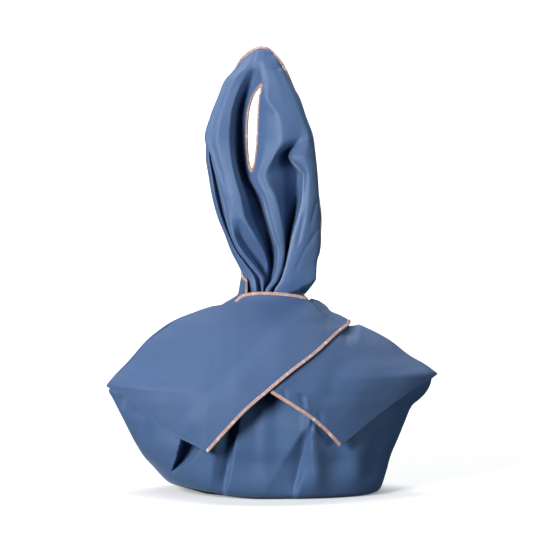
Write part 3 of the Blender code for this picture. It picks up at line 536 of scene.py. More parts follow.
# The wings' face: height, left reach, right reach and front reach from the middle, and point
SHELL_SECTIONS = (
    (32.0, 136, 128, 88, 0.55),
    (52.0, 146, 138, 89, 0.60),
    (72.0, 156, 149, 89, 0.72),
    (92.0, 163, 158, 87, 0.84),
    (104.0, 164.5, 162, 84, 0.90),
    (116.0, 153, 164, 78, 0.90),
    (125.0, 143, 152, 73, 0.88),
    (134.5, 134.5, 136, 67, 0.86),
    (150.0, 120.3, 115.5, 56, 0.82),
    (162.5, 103, 95, 46, 0.76),
    (168.0, 96, 78, 41, 0.72),
    (175.0, 79.5, 66, 34, 0.66),
    (183.0, 59, 53, 24.5, 0.60),
    (190.0, 40, 41, 18, 0.52),
    (198.0, 36.5, 37, 14.5, 0.50),
)
LEFT_WING_FOLDS = (
    (-64, 168, -88, 48, 10, 16, 10, 11, -5, 2),  # the long soft swell down to the wing's lower fold
    (-101, 124, -104, 72, 10, 9, 10, 9, 2.5, 2),
    (-44, 130, -52, 54, 8, 9, 9, 9, 2.5, 2),
    (-20, 178, -34, 96, 12, 14, 12, 12, -2, 2),
    (14, 182, 2, 112, 14, 14, 16, 16, -2, 2),
    (-128, 132, -134, 96, 9, 9, 8, 8, -1.5, 2),
)
SHOULDER_FOLDS = (
    (36, 191, 52, 178, 1.2, 1.6, 1.2, 1.6, 2.6, 2),  # a pressed crease beside the neck's right end
    (38, 186, 56, 173, 1.8, 1.8, 2.4, 2.4, -1.4, 2),
)
RIGHT_WING_FOLDS = (
    (100, 150, 76, 74, 14, 14, 12, 12, -3, 2),
    (66, 140, 52, 90, 9, 9, 9, 9, 2.5, 2),
    (126, 130, 112, 98, 10, 10, 10, 10, 2.5, 2),
    (11, 112, 13, 99, 2.5, 4, 2, 3, 1.4, 2),  # the small puckers along the binding
    (27, 108, 31, 91, 3, 4, 2, 3, 1.8, 2),
    (33, 103, 36.5, 86, 2, 3, 2, 2.5, -1.2, 2),
    (45, 92, 47.5, 75, 2, 3.5, 2, 3, 1.6, 2),
)

# Outlines as seen from the front: pairs of x and z, from left to right.
LEFT_TOP = (
    (-164.3, 104), (-157, 113), (-143, 127.5), (-120.3, 152.5), (-97.6, 168.5), (-79.5, 176), (-59, 183),
    (-43, 186.3), (-36, 189), (-28, 195), (-10, 197.3), (6, 196.8), (24, 194.5), (35.5, 191.2), (45, 184.8),
    (56, 178.5), (67, 174), (77.5, 168.2),
)
# The small roll of cloth on the right shoulder, as pairs of x and how far it lies above the outline
SHOULDER_ROLL = (
    (35.6, 0), (40.4, 2.4), (45.7, 4.4), (50.2, 4.2), (53.8, 3.4), (56.4, 1.7), (58.5, 0.4), (67, 0.2),
    (77.5, 0),
)
LEFT_FOLD = (
    (-164.3, 104), (-152.6, 100.5), (-135.8, 91.5), (-113.3, 74.9), (-96.8, 65.2), (-78.5, 57.6), (-63, 50),
)
LEFT_TRIM = (
    (-63, 50), (-45.5, 70.1), (-25.3, 91.7), (-2, 111.4), (17.2, 126.5), (41, 143), (51.2, 151),
    (66.2, 162.5), (77.5, 168.2),
)
RIGHT_TOP = (
    (-18, 120.5), (-4, 134), (12, 149), (27, 164), (42, 180), (50, 176.5), (60, 172), (67, 168),
    (74, 163.8), (80, 164), (85, 165), (93, 162), (115.5, 150), (136, 134.3), (152, 125), (164, 116.2),
)
RIGHT_FOLD = (
    (66.3, 55.3), (77.4, 63), (93.4, 75), (116.2, 90.5), (134.4, 101), (150.7, 108.8), (164, 116.2),
)
RIGHT_TRIM = ((-18, 120.5), (-2, 109.3), (19.3, 96), (40.7, 81.3), (54, 69), (66.3, 55.3))
LEFT_TIP, RIGHT_TIP = -64, 67  # the columns outside these end in a turned fold, those inside in a bound edge
WING_REACH = 164.3  # how far the wings' ends lie from the middle
WING_ROWS, WING_ROWS_CROWDED = 110, 1.2
NECK_HALF = 37.5  # the left wing's top is bound this far to either side of the middle
BESIDE_NECK = (36, 62)  # how far beside the neck the ridge begins to lie over y 0, and where it fully does
LEFT_RIDGE_DEPTH, RIGHT_RIDGE_DEPTH = 13.0, 8.0  # how far down the face that is felt
LAYER = 3.6  # how far the left wing stands proud of the right one that it covers
LAYER_FROM, LAYER_ENDS = (-22, -4), (0.85, 1.0)  # across the covered wing's upper edge, and towards the ridge
CROSSING_X, CROSSING_Z = 42, 180  # the covered wing's upper corner, and the way square to its upper edge
CROSSING_ACROSS, CROSSING_UP = 0.69, 0.72
BEHIND_TAPE = 0.6  # how far the cloth stops short of a binding's middle
HEM_RADIUS, HEM_LENGTH, HEM_SHORTEST = 1.5, 10.0, 0.5
HEM_TURN, HEM_TURN_AT_END = 180, 70  # degrees
HEM_TURNS_BY, HEM_WIDENS_BY = (0.0, 30.0), (10.0, 50.0)  # distances from a wing's end
HEM_BEND_ROWS, HEM_FLAT_ROWS = 8, 5
LAP_LENGTH, LAP_MOST = 13.0, 0.45  # how far a lap goes down, and the most of its wing's own length
LAP_CLEAR, LAP_OVER = 2.6, 1.8  # how far a lap clears the sack's back, and how much more over the other lap
LAPS_MEET = (36, 44)  # from where to where the left lap comes to lie over the right one
LAP_BACK = 4.0  # how far behind the wing's ridge a lap ends at least
# The rows of a lap from its end up to the ridge, as shares of its length
LAP_SHARES = np.array([1.0, 0.85, 0.7, 0.55, 0.4, 0.27, 0.15, 0.06])[:, None]
LAP_SHARES_CROWDED = 1.3
FOLD_HIGHLIGHT_ROWS = (0.5, 0.5, 0.2)  # how much painted highlight lies on the rows from a wing's lower fold on


def level(outline, x):
    """The height of an outline at each x."""
    places = np.array(outline, float)
    return through(places[:, 0], places[:, 1], x)[..., 0]


def unit(vectors):
    """The vectors, each made one millimetre long."""
    return vectors / np.linalg.norm(vectors, axis=-1, keepdims=True)


def shell(x, z):
    """How far out a place is, from 0 in the middle to 1 at the ridge, and the y of the wings' face there."""
    left, right, front, point = section(SHELL_SECTIONS, z)
    share = np.clip(np.abs(x) / np.where(x > 0, right, left), 0.0, 1.0)
    return share, -front * (1 - share**2) ** point


def drawn_back(x, z, top, beside, depth):
    """How far a wing's face is drawn back to bring its ridge, the outline top, over y 0."""
    ridge = level(top, x)
    away = sum(shell(x + step, ridge)[1] for step in (-8, -4, 0, 4, 8)) / 5
    return -beside * away * np.exp(-(((ridge - z) / depth) ** 2))


def left_face(x, z):
    """The left wing's face at a place seen from the front. It stands proud where it covers the right one."""
    share, y = shell(x, z)
    past = (x - CROSSING_X) * CROSSING_ACROSS - (z - CROSSING_Z) * CROSSING_UP
    proud = LAYER * smooth(*LAYER_FROM, past) * (1 - smooth(*LAYER_ENDS, share))
    y = y - proud + fold_depth(LEFT_WING_FOLDS, x, z) * (1 - share)
    y = y + fold_depth(SHOULDER_FOLDS, x, z)
    y = y + drawn_back(x, z, LEFT_TOP, smooth(*BESIDE_NECK, np.abs(x)), LEFT_RIDGE_DEPTH)
    return np.stack([x, y, z], axis=-1)


def right_face(x, z):
    """The right wing's face at a place seen from the front."""
    share, y = shell(x, z)
    y = y + fold_depth(RIGHT_WING_FOLDS, x, z) * (1 - share)
    y = y + drawn_back(x, z, RIGHT_TOP, smooth(*BESIDE_NECK, x), RIGHT_RIDGE_DEPTH)
    return np.stack([x, y, z], axis=-1)


def back_of_sack(x, z):
    """How far back the sack's cloth lies at columns of places seen from behind."""
    angle = np.linspace(math.pi - 0.02, 0.02, 90)
    heights = np.arange(84.0, 186.0, 3.0)
    rings = (sack_points(angle, np.full_like(angle, height)) for height in heights)
    depths = np.array([np.interp(x, ring[:, 0], ring[:, 1]) for ring in rings])
    return np.array([np.interp(z[:, k], heights, depths[:, k]) for k in range(len(x))]).T


def behind_tape(edge, x):
    """How far short of a bound edge's outline the cloth ends, measured up and down."""
    slope = level(edge, x + 0.5) - level(edge, x - 0.5)
    return BEHIND_TAPE * np.sqrt(1 + slope**2)


def lower_edge(x, folded, fold, trim):
    """The height at which a wing's face ends: at its turned fold, or behind the tape on its cut edge."""
    return np.where(folded, level(fold, x), level(trim, x) + behind_tape(trim, x))


def wing_piece(name, face_of, x, top, bottom, folded, lapped, lap_over, fold_highlight, finish):
    """A wing's cloth in columns at each x: laps behind its ridge, its face from top to bottom, and its hem.

    folded and lapped say which columns have a hem and a lap, lap_over how much more the lap clears the sack,
    and the fold highlight how much painted highlight lies along the lower fold.
    """
    z = top + (bottom - top) * np.linspace(0, 1, WING_ROWS)[:, None] ** WING_ROWS_CROWDED
    face = face_of(np.broadcast_to(x, z.shape), z)
    outward = unit(np.cross(np.gradient(face, axis=1), np.gradient(face, axis=0))[-1])
    down = face[-1] - face[-2]
    down = unit(down - outward * (down * outward).sum(1, keepdims=True))
    reach = WING_REACH - np.abs(x)
    turn = HEM_TURN_AT_END + (HEM_TURN - HEM_TURN_AT_END) * smooth(*HEM_TURNS_BY, reach)
    turn = np.radians(turn)[:, None]
    length = (HEM_SHORTEST + (HEM_LENGTH - HEM_SHORTEST) * smooth(*HEM_WIDENS_BY, reach))[:, None]
    turns = [turn * share for share in np.linspace(0, 1, HEM_BEND_ROWS + 1)[1:]]
    bend = [face[-1] + HEM_RADIUS * (np.sin(a) * down + (1 - np.cos(a)) * outward) for a in turns]
    onward = np.cos(turn) * down + np.sin(turn) * outward
    flat = [bend[-1] + share * length * onward for share in np.linspace(0, 1, HEM_FLAT_ROWS + 1)[1:]]
    lap_z = top - np.minimum(LAP_LENGTH, LAP_MOST * (top - bottom)) * LAP_SHARES**LAP_SHARES_CROWDED
    lap_y = back_of_sack(x, lap_z) + (LAP_CLEAR + lap_over)
    lap_y = np.maximum(lap_y, face[0, :, 1] + LAP_BACK * np.sqrt(LAP_SHARES))
    laps = np.stack([np.broadcast_to(x, lap_z.shape), lap_y, lap_z], axis=-1)
    grid = np.concatenate([laps, face, np.array(bend + flat)])
    kept = np.ones(grid.shape[:2], bool)
    kept[: len(laps)] = lapped
    kept[len(laps) + WING_ROWS :] = folded
    # Painted highlight along the lower fold: the first rows of the hem get the twill's pale colour mixed in
    painted_highlight = np.zeros(grid.shape[:2])
    for below, share in enumerate(FOLD_HIGHLIGHT_ROWS):
        painted_highlight[len(laps) + WING_ROWS - 1 + below] = share * fold_highlight * folded
    piece = closed_sheet(name, [surface(name, grid, kept, painted_highlight=painted_highlight)], finish)
    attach(piece, "root")
    return piece


# The left wing: the sack's blue painted a little darker, as shade, and how much painted highlight lies along
# its lower fold
LEFT_BLUE_PAINTED_SHADE, LEFT_FOLD_HIGHLIGHT = (0.059, 0.112, 0.238), 0.4
# Columns over the turned fold and over the bound edge, with none at the tip between them
left_x = np.concatenate([np.linspace(-163.9, -64.5, 90), np.linspace(-63.6, 76.0, 130)])
folded = left_x < LEFT_TIP
bound = np.abs(left_x) < NECK_HALF
left_high = level(LEFT_TOP, left_x) + np.interp(left_x, *zip(*SHOULDER_ROLL))
left_high -= np.where(bound, behind_tape(LEFT_TOP, left_x), 0.0)
left_low = lower_edge(left_x, folded, LEFT_FOLD, LEFT_TRIM)
left_lap = LAP_OVER * smooth(*LAPS_MEET, left_x)
left_twill = twill_cloth("left_twill", LEFT_BLUE_PAINTED_SHADE)
left_wing = wing_piece(
    "left_wing_fold", left_face, left_x, left_high, left_low, folded, ~bound, left_lap, LEFT_FOLD_HIGHLIGHT,
    left_twill,
)
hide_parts("left_wing")

# The right wing: the sack's blue painted darker, as shade, and how much painted highlight lies along its
# lower fold
RIGHT_BLUE_PAINTED_SHADE, RIGHT_FOLD_HIGHLIGHT = (0.053, 0.102, 0.216), 0.2
right_x = np.concatenate([np.linspace(-14.5, 66.0, 80), np.linspace(67.5, 163.6, 90)])
folded = right_x > RIGHT_TIP
covered = right_x <= CROSSING_X
right_high = level(RIGHT_TOP, right_x)
right_low = lower_edge(right_x, folded, RIGHT_FOLD, RIGHT_TRIM)
right_twill = twill_cloth("right_twill", RIGHT_BLUE_PAINTED_SHADE)
right_wing = wing_piece(
    "right_wing_fold", right_face, right_x, right_high, right_low, folded, ~covered, 0.0, RIGHT_FOLD_HIGHLIGHT,
    right_twill,
)
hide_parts("right_wing")


# ---- The ear: the square's last corner, gathered in deep folds through the neck's slit and standing up.
# ---- A hand slit is cut along one of its folds, so that the wrap can be carried by it.

EAR_LEVELS = (
    181.5, 198.5, 210, 223.5, 238, 253.5, 272.5, 291.5, 313.5,
    331.5, 349.5, 371.5, 389, 406.5, 423, 434, 438.5,
)
# For each fold line: its name, its x and its y at each level
EAR_FOLDS = (
    ("left cut edge",
     (-15, -18, -22, -26, -31, -36, -41, -45, -49, -51, -50, -49, -45, -38, -33.3, -24.3, -18),
     (6, 4, 8, 11, 14, 16, 19, 21, 23, 23, 21, 18, 14.5, 11, 3.5, 0.8, 0)),
    ("left roll",
     (-19, -21, -26.6, -33.4, -40.8, -46.6, -54.2, -59.2, -63,
      -65.4, -65.3, -57, -50, -42.5, -33.3, -23.3, -17.2),
     (1, -3, -1, 1, 2, 3, 4, 5, 6, 7, 8.5, 12, 11, 8, 1.8, 0.3, -0.3)),
    ("roll's inner side",
     (-16, -15.5, -17, -25.5, -35.5, -43, -50.6, -55.6, -59.5,
      -62.2, -63, -60, -52.6, -45, -32.6, -22.3, -16.4),
     (-4, -8, -7, -6, -5, -4, -3, -2, -1, 0, 2.5, 7.5, 7, 5, 0.6, -0.1, -0.6)),
    ("slot",
     (-13, -12, -13, -22.5, -34, -41.5, -48, -52.5, -57,
      -60.6, -59.5, -57, -49.8, -42.8, -31.4, -21.3, -15.6),
     (-2, 2, 1, 1, 2, 4, 6, 7, 8, 8, 6, 3, 3, 2, -0.4, -0.5, -0.8)),
    ("bright edge",
     (-11, -9.5, -10.5, -20.3, -32.6, -40, -44.7, -48.9, -54.7,
      -59.8, -66.2, -60.5, -53.6, -46.2, -29.5, -20.2, -15),
     (-6, -10, -13, -15, -15, -14.5, -13.5, -12, -10, -8, -4, -1, -1, -1, -1.4, -1, -1)),
    ("highlight band",
     (-9.8, -8.8, -8.5, -16.5, -28.5, -36.8, -40, -43.5, -49.5,
      -55, -59.5, -55.5, -49.5, -41.5, -25.5, -18.3, -13.8),
     (-6.8, -10.5, -13.5, -17, -18, -17.5, -17.5, -17.5, -13.5,
      -11.2, -8.5, -4.5, -3.6, -3.8, -3.2, -2.3, -1.4)),
    ("dent",
     (-9, -8.3, -6.5, -13, -21.5, -30, -34, -38, -44, -49, -52, -48.5, -43.5, -36, -22.5, -17, -13),
     (-6.5, -8, -7, -1, -3.5, -9, -19, -20, -16.5, -14.5, -12.5, -8.2, -7, -6.6, -4.6, -3.3, -1.6)),
    ("left crest",
     (-8, -7.9, -4.5, -4.5, -8.5, -17, -27, -31, -37, -40.5, -42.3, -40.8, -36.5, -29.5, -20, -15.3, -12.2),
     (-6.2, -5, -3, -6, -14, -20, -21, -20.5, -17, -14.8, -12.3, -8.3, -7.2, -6.4, -5.2, -4, -1.8)),
    ("left trough",
     (-6, -7.4, -1.8, -0.8, -3, -4.8, -10, -16.5, -28, -32, -33, -32, -27.5, -20, -16.5, -13, -11),
     (-6.2, 0, 3, 8, 12, 14, 16, 16, 14, 16, 16.5, 14.5, 9.5, 1, -6.8, -4.6, -2)),
    ("hand slit",  # and the tube's bright edge below it
     (-3.8, -6.6, 0.7, 5.8, 6.8, 1.7, -4.2, -9.3, -20.5, -20.3, -20, -19, -16.2, -10, -11.5, -11, -9.8),
     (-6.5, -12, -14, -16, -16.5, -16.5, -16, -14.5, -4, 2.5, 2.5, 0, -4.5, -9.3, -8, -5, -2)),
    ("hollow",  # and the tube's front
     (-2, -4, 3.6, 8.2, 10, 6, 1.8, -3.2, -13.5, -9, -5, -4.5, -8, -6.5, -8.8, -9.5, -8.8),
     (-7, -14, -16.5, -18.8, -19.8, -20, -19.5, -18.5, -14,
      -13, -12.2, -12.2, -12, -10.9, -8.6, -5.3, -2.1)),
    ("curving ridge",  # and the tube's right side
     (0, -1.6, 6.2, 10.8, 12.4, 11, 8, 3.2, -6, 1.5, 10, 7.5, -3, -4.2, -6.6, -8, -7.8),
     (-6.6, -12.5, -14, -16, -18, -18.5, -18.5, -18, -16.5,
      -17.5, -19, -17.6, -14.2, -11.8, -8.9, -5.5, -2.1)),
    ("right trough",
     (1.8, 0.6, 7.2, 11.8, 14.8, 17, 21, 24, 25, 13, 25, 15, 8, 3.5, -1.8, -5, -6.4),
     (-5.6, -3, -1, 4, 10, 14, 16, 16, 13, 8, -15, -17, -14.2, -12, -8.8, -5.3, -2)),
    ("flap",  # and the right roll's edge below it
     (4, 3.2, 8.7, 13, 16.5, 20.2, 25.8, 30, 30.8, 20.5, 29, 22, 15, 9, 1.8, -3, -5.2),
     (-6.2, -13, -15, -16.5, -17.5, -18, -18, -17, -12.5,
      -17.5, -14.5, -15.8, -13.6, -11.3, -8.2, -4.8, -1.9)),
    ("right crest",
     (8, 12, 17.5, 22, 26, 29.5, 33.5, 36.5, 36.5, 32, 35, 29, 21.5, 14, 5.5, -0.8, -4),
     (-6, -14, -17, -18.5, -19.5, -20, -20, -19, -18, -18.5, -14.5, -13, -12, -10, -7.5, -4, -1.6)),
    ("right roll's back",
     (13, 36, 43.5, 44, 46.3, 47, 47, 46.3, 45, 43.2, 41, 33.3, 27.3, 16.5, 6.8, 0.5, -3.2),
     (0, -8, -9, -9, -9, -9, -9, -9, -8, -7, -4, -4, -4, -5, -5, -2.6, -1)),
    ("right cut edge",
     (8, 31, 39.5, 41, 46, 47, 47.2, 45.5, 42, 38, 36, 30.5, 25.5, 18.2, 10.6, 2.6, -2.2),
     (5.5, 3, 4, 6, 6, 4, 4, 7, 10, 12, 11, 7, 3.5, -1, -1.8, -0.9, 0)),
)
EAR_NAMES = [name for name, _, _ in EAR_FOLDS]
SLIT_FOLD = EAR_NAMES.index("hand slit")
EAR_FOOT, EAR_TIP = EAR_LEVELS[0], EAR_LEVELS[-1]
TIP_ARCH = 2.5  # how far the tip's ends lie below its middle
ARCH_FROM, ARCH_TO = 405, 436  # the heights over which they come to lie so
SLIT_LOW, SLIT_HIGH, SLIT_HALF_WIDTH = 316.5, 402.2, 6.9
SLIT_MIDDLE = (SLIT_LOW + SLIT_HIGH) / 2
SLIT_LIE = np.array([0.81, -0.58, 0.0])
SLIT_FACING = np.array([-0.58, -0.81, 0.0])
EAR_STEPS = 14  # columns from one fold line to the next
ROWS_BELOW_SLIT, ROWS_BESIDE_SLIT, ROWS_ABOVE_SLIT = 90, 60, 26

# The right roll ends in a cut lower edge above the neck, given as pairs of x and z. What hangs below it is
# gathered in and lies back. Each tuck says how far back it takes the cloth, and over which heights.
EAR_HEM = (
    (3.0, 193.0), (11.0, 195.4), (27.4, 200.5), (31.4, 203.5), (40.4, 208.4), (44.8, 210.7), (60.0, 218.0),
)
EAR_TUCKS = ((14.0, 189, 201), (6.0, 198, 205))
TUCKED_BELOW, TUCKED_FROM = (0.0, 2.2), (3.0, 7.0)  # how far below the hem, and at which x, they set in
# Small puckers beside the right binding: middle x and z, half width, half height and depth
EAR_PUCKERS = ((6.5, 418.5, 6, 1.9, 1.8), (1.5, 431, 2.5, 1.8, 1.2), (-7, 430, 7, 4, 1.0))
# Fine creases down the right roll, in the same columns as the sack's folds
EAR_CREASES = (
    (44.5, 292, 37, 262, 1.3, 1.6, 1.3, 1.6, 1.3, 2),
    (46, 264, 20, 216, 1.4, 1.8, 1.4, 1.8, 1.6, 2),
    (39.5, 250, 25, 224, 1.2, 1.5, 1.2, 1.5, -1.2, 2),
    (33, 282, 24, 240, 2.5, 2.5, 2.5, 2.5, 0.9, 2),
)
# Where a painted highlight lies along the pressed folds: the fold line's name, and the heights between which
# it lies
LEFT_HIGHLIGHTS = (("bright edge", 188, 350), ("hand slit", 188, 300), ("roll's inner side", 290, 352))
RIGHT_HIGHLIGHTS = (("hand slit", 188, 300), ("flap", 190, 330))
HIGHLIGHT_STARTS, HIGHLIGHT_ENDS = 12, 25  # the heights over which the painted highlight sets in and fades out


def ear_fold_lines(height):
    """Every fold line's place at each height, as points by height and line."""
    x, y = (through(EAR_LEVELS, np.array([row[k] for row in EAR_FOLDS], float).T, height) for k in (1, 2))
    across = 2 * (x - x[:, :1]) / (x[:, -1:] - x[:, :1]) - 1
    arch = TIP_ARCH * smooth(ARCH_FROM, ARCH_TO, height)[:, None] * np.clip(across, -1, 1) ** 2
    return np.stack([x, y, np.asarray(height, float)[:, None] - arch], axis=-1)


def ear_halves(height, half_width, half_length):
    """The ear's rows of points left and right of the hand slit, with a pointed oval hole cut for the slit."""
    lines = ear_fold_lines(height)
    across = (height - SLIT_MIDDLE) / half_length
    opened = half_width * np.sqrt(np.clip(1 - across**2, 0.0, None))[:, None]
    left = [lines[:, :SLIT_FOLD], (lines[:, SLIT_FOLD] - opened * SLIT_LIE)[:, None]]
    right = [(lines[:, SLIT_FOLD] + opened * SLIT_LIE)[:, None], lines[:, SLIT_FOLD + 1 :]]
    halves = []
    for parts in (left, right):
        knots = np.concatenate(parts, axis=1)
        count = knots.shape[1]
        at = np.linspace(0, count - 1, EAR_STEPS * (count - 1) + 1)
        halves.append(np.array([through(np.arange(count), row, at) for row in knots]))
    return halves


def ear_column(name, first):
    """The column of a fold line in the half of the ear that starts at the fold line numbered first."""
    return EAR_STEPS * (EAR_NAMES.index(name) - first)


def highlighted_lines(half, first, highlights):
    """The painted highlight mask of the half of the ear that starts at the fold line numbered first."""
    mask = np.zeros(half.shape[:2])
    for name, low, high in highlights:
        for beside, share in ((-1, 0.5), (0, 1.0), (1, 0.5)):
            at = ear_column(name, first) + beside
            if 0 <= at < mask.shape[1]:
                z = half[:, at, 2]
                run = smooth(low, low + HIGHLIGHT_STARTS, z) * (1 - smooth(high - HIGHLIGHT_ENDS, high, z))
                mask[:, at] = np.maximum(mask[:, at], share * run)
    return mask


hole_half_length = (SLIT_HIGH - SLIT_LOW) / 2 + BEHIND_TAPE
ear_height = np.concatenate([
    np.linspace(EAR_FOOT, SLIT_MIDDLE - hole_half_length, ROWS_BELOW_SLIT),
    SLIT_MIDDLE - hole_half_length * np.cos(np.linspace(0, math.pi, ROWS_BESIDE_SLIT))[1:],
    np.linspace(SLIT_MIDDLE + hole_half_length, EAR_TIP, ROWS_ABOVE_SLIT)[1:],
])
ear_left, ear_right = ear_halves(ear_height, SLIT_HALF_WIDTH + BEHIND_TAPE, hole_half_length)
roll_x, roll_z = ear_right[..., 0], ear_right[..., 2]
below_hem = np.interp(roll_x, *zip(*EAR_HEM)) - roll_z
tucked = smooth(*TUCKED_BELOW, below_hem) * smooth(*TUCKED_FROM, roll_x)
ear_right[..., 1] += sum(far * smooth(low, high, roll_z) for far, low, high in EAR_TUCKS) * tucked
for half in (ear_left, ear_right):
    for x, z, half_width, half_height, sink in EAR_PUCKERS:
        beside, above = (half[..., 0] - x) / half_width, (half[..., 2] - z) / half_height
        half[..., 1] += sink * np.exp(-(beside**2) - above**2)
past_trough = np.arange(ear_right.shape[1]) > ear_column("right trough", SLIT_FOLD)
ear_right[..., 1] += fold_depth(EAR_CREASES, roll_x, roll_z) * past_trough

# The ear: the sack's blue painted lighter, as light falling on it
EAR_BLUE_PAINTED_LIGHT = (0.074, 0.139, 0.285)
# Painted highlight along the ear's pressed fold lines, as masks for the twill's pale colour
left_highlight = highlighted_lines(ear_left, 0, LEFT_HIGHLIGHTS)
right_highlight = highlighted_lines(ear_right, SLIT_FOLD, RIGHT_HIGHLIGHTS)
ear_meshes = [
    surface("ear_left_half", ear_left[::-1], painted_highlight=left_highlight[::-1]),
    surface("ear_right_half", ear_right[::-1], painted_highlight=right_highlight[::-1]),
]
ear_twill = twill_cloth("ear_twill", EAR_BLUE_PAINTED_LIGHT, roughness=0.4, specular=0.45)
ear = closed_sheet("ear_gather", ear_meshes, ear_twill)
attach(ear, "root")
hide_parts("ear")


# ---- The bindings: a narrow tape of pale pink satin for each cut edge, folded over it and sewn down along
# ---- its middle, so that a rib stands on either side of the row of stitches.

TAPE_PINK = (0.62, 0.37, 0.31)
THREAD_PINK = (0.74, 0.52, 0.46)
TAPE_WIDTH, TAPE_THICKNESS = 3.4, 2.2
SLIT_TAPE_WIDTH = 2.3  # pulled tight round the slit
SLIT_POINTED = 3.0  # how much more the slit's inner ribs close in at its ends than at its sides
TAPE_SINK = 0.7  # how far the tape's middle lies behind the cloth's outer face
GROOVE_SHARE = 0.3  # the tape's thickness at its groove and edges, as a share of that at its ribs
RIB_STEPS = 7  # points over each of the two ribs
STITCH_RISE = 0.35  # how far up from the groove to the ribs the stitches lie
WING_TAPE_COUNT, EAR_TAPE_COUNT, SLIT_TAPE_COUNT = 160, 320, 140  # sections along each tape


def run_along(line):
    """How far along a line each of its points lies."""
    return np.concatenate([[0.0], np.cumsum(np.linalg.norm(np.diff(line, axis=0), axis=1))])


def curve_through(points, at):
    """Reads a smooth curve through points at shares of its length, from 0 to 1."""
    length = run_along(points)
    return through(length / length[-1], points, at)


def recut(line, values, count):
    """The values along a line at count evenly spaced places. The line may be its own values."""
    length = run_along(line)
    at = np.linspace(0.0, length[-1], count)
    return np.stack([np.interp(at, length, values[:, k]) for k in range(3)], axis=1)


def evened(ring, times):
    """A closed row of points or facings, each drawn towards its neighbours some times over."""
    for _ in range(times):
        ring = (np.roll(ring, 1, axis=0) + 2 * ring + np.roll(ring, -1, axis=0)) / 4
    return ring


def tape_outline(width=TAPE_WIDTH):
    """The tape's section as offsets across and out: on each side two round ribs with a groove between."""
    half = width / 4
    front = []
    for middle in (-half, half):
        for angle in np.linspace(math.pi, 0, RIB_STEPS):
            out = TAPE_THICKNESS / 2 * (GROOVE_SHARE + (1 - GROOVE_SHARE) * math.sin(angle))
            front.append((middle + half * math.cos(angle), out))
    return front + [(-across, -out) for across, out in front]


def satin_threads():
    """Satin threads laid aslant across a tape, with pale flecks painted on as the satin's glints."""
    satin = ThreadGroup("satin_threads", {
        "Colour": (0.6, 0.37, 0.31, 1.0),
        "Highlight Colour": (0.86, 0.74, 0.71, 1.0),
        "Thread Pitch": 0.62,
        "Thread Slant": 0.7,
        "Thread Height": 0.07,
        "Thread Shade": 0.07,
        "Fleck Scale": 260.0,
        "Fleck Shade": 0.5,
        "Fleck Limit": 0.56,
        "Fleck Sharpness": 7.0,
        "Base Shade": 0.75,
    })
    given, calculate = satin.given, satin.calculate
    across, along = satin.cloth_place()
    aslant = calculate("ADD", along, calculate("MULTIPLY", across, given["Thread Slant"]))
    turns = calculate("DIVIDE", aslant, given["Thread Pitch"])
    threads = calculate("SINE", calculate("MULTIPLY", turns, math.tau))
    satin.feed(satin.out["Normal"], satin.bumped(calculate("MULTIPLY", threads, given["Thread Height"])))
    flecks = satin.noise(given["Fleck Scale"], 2.0)
    # Painted highlight: where the noise passes a limit, pale flecks in the highlight colour stand in for the
    # satin's glints
    above = calculate("SUBTRACT", flecks, given["Fleck Limit"])
    above = calculate("MAXIMUM", calculate("MULTIPLY", above, given["Fleck Sharpness"]), 0.0)
    painted_glints = calculate("SMOOTH_MIN", above, 1.0, 0.1)
    ridges = calculate("MULTIPLY", threads, given["Thread Shade"])
    shade = calculate("ADD", ridges, calculate("MULTIPLY", flecks, given["Fleck Shade"]))
    dyed = satin.shaded(given["Colour"], calculate("ADD", shade, given["Base Shade"]))
    satin.feed(satin.out["Colour"], satin.mixed(painted_glints, dyed, given["Highlight Colour"]))
    return satin.tree


def stitch_tree():
    """A row of small stitches along a line of points, each a slim rounded thread laid slightly unevenly."""
    row = NodeTree("GeometryNodeTree", "stitch_row", {
        "Geometry": "NodeSocketGeometry",
        "Pitch": 2.6 * MM,
        "Stitch Length": 1.9 * MM,
        "Thread Width": 0.5 * MM,
        "Unevenness": 0.12,
        "Seed": 7,
        "Thread": "NodeSocketMaterial",
    }, {"Geometry": "NodeSocketGeometry"})
    given, node = row.given, row.node
    line = node("GeometryNodeMeshToCurve", {"Mesh": given["Geometry"]}).outputs["Curve"]
    places = node("GeometryNodeResampleCurve", {"Curve": line, "Length": given["Pitch"]}, mode="LENGTH")
    wander = {0: (-1.0, -1.0, -1.0), 1: (1.0, 1.0, 1.0), "Seed": given["Seed"]}
    wander = node("FunctionNodeRandomValue", wander, data_type="FLOAT_VECTOR").outputs[0]
    astray = node("ShaderNodeVectorMath", {0: wander, "Scale": given["Unevenness"]}, operation="SCALE")
    tangent = node("GeometryNodeInputTangent", {}).outputs[0]
    aim = node("ShaderNodeVectorMath", {0: tangent, 1: astray.outputs[0]}, operation="ADD").outputs[0]
    lie = node("FunctionNodeAlignRotationToVector", {"Vector": aim}, axis="Z")
    width, length = given["Thread Width"], given["Stitch Length"]
    size = node("ShaderNodeCombineXYZ", {"X": width, "Y": width, "Z": length}).outputs["Vector"]
    ball = node("GeometryNodeMeshUVSphere", {"Segments": 6, "Rings": 5, "Radius": 0.5}).outputs["Mesh"]
    stitch = node("GeometryNodeTransform", {"Geometry": ball, "Scale": size})
    stitches = node("GeometryNodeInstanceOnPoints", {
        "Points": places.outputs["Curve"],
        "Instance": stitch.outputs["Geometry"],
        "Rotation": lie.outputs["Rotation"],
    })
    real = node("GeometryNodeRealizeInstances", {"Geometry": stitches.outputs["Instances"]})
    sewn = {"Geometry": real.outputs["Geometry"], "Material": given["Thread"]}
    row.feed(row.out["Geometry"], node("GeometryNodeSetMaterial", sewn).outputs["Geometry"])
    return row.tree


SATIN = satin_threads()
STITCHES = stitch_tree()
STITCH_THREAD = woven("stitch_thread", SATIN, THREAD_PINK, {"Roughness": 0.5}, relief=False)


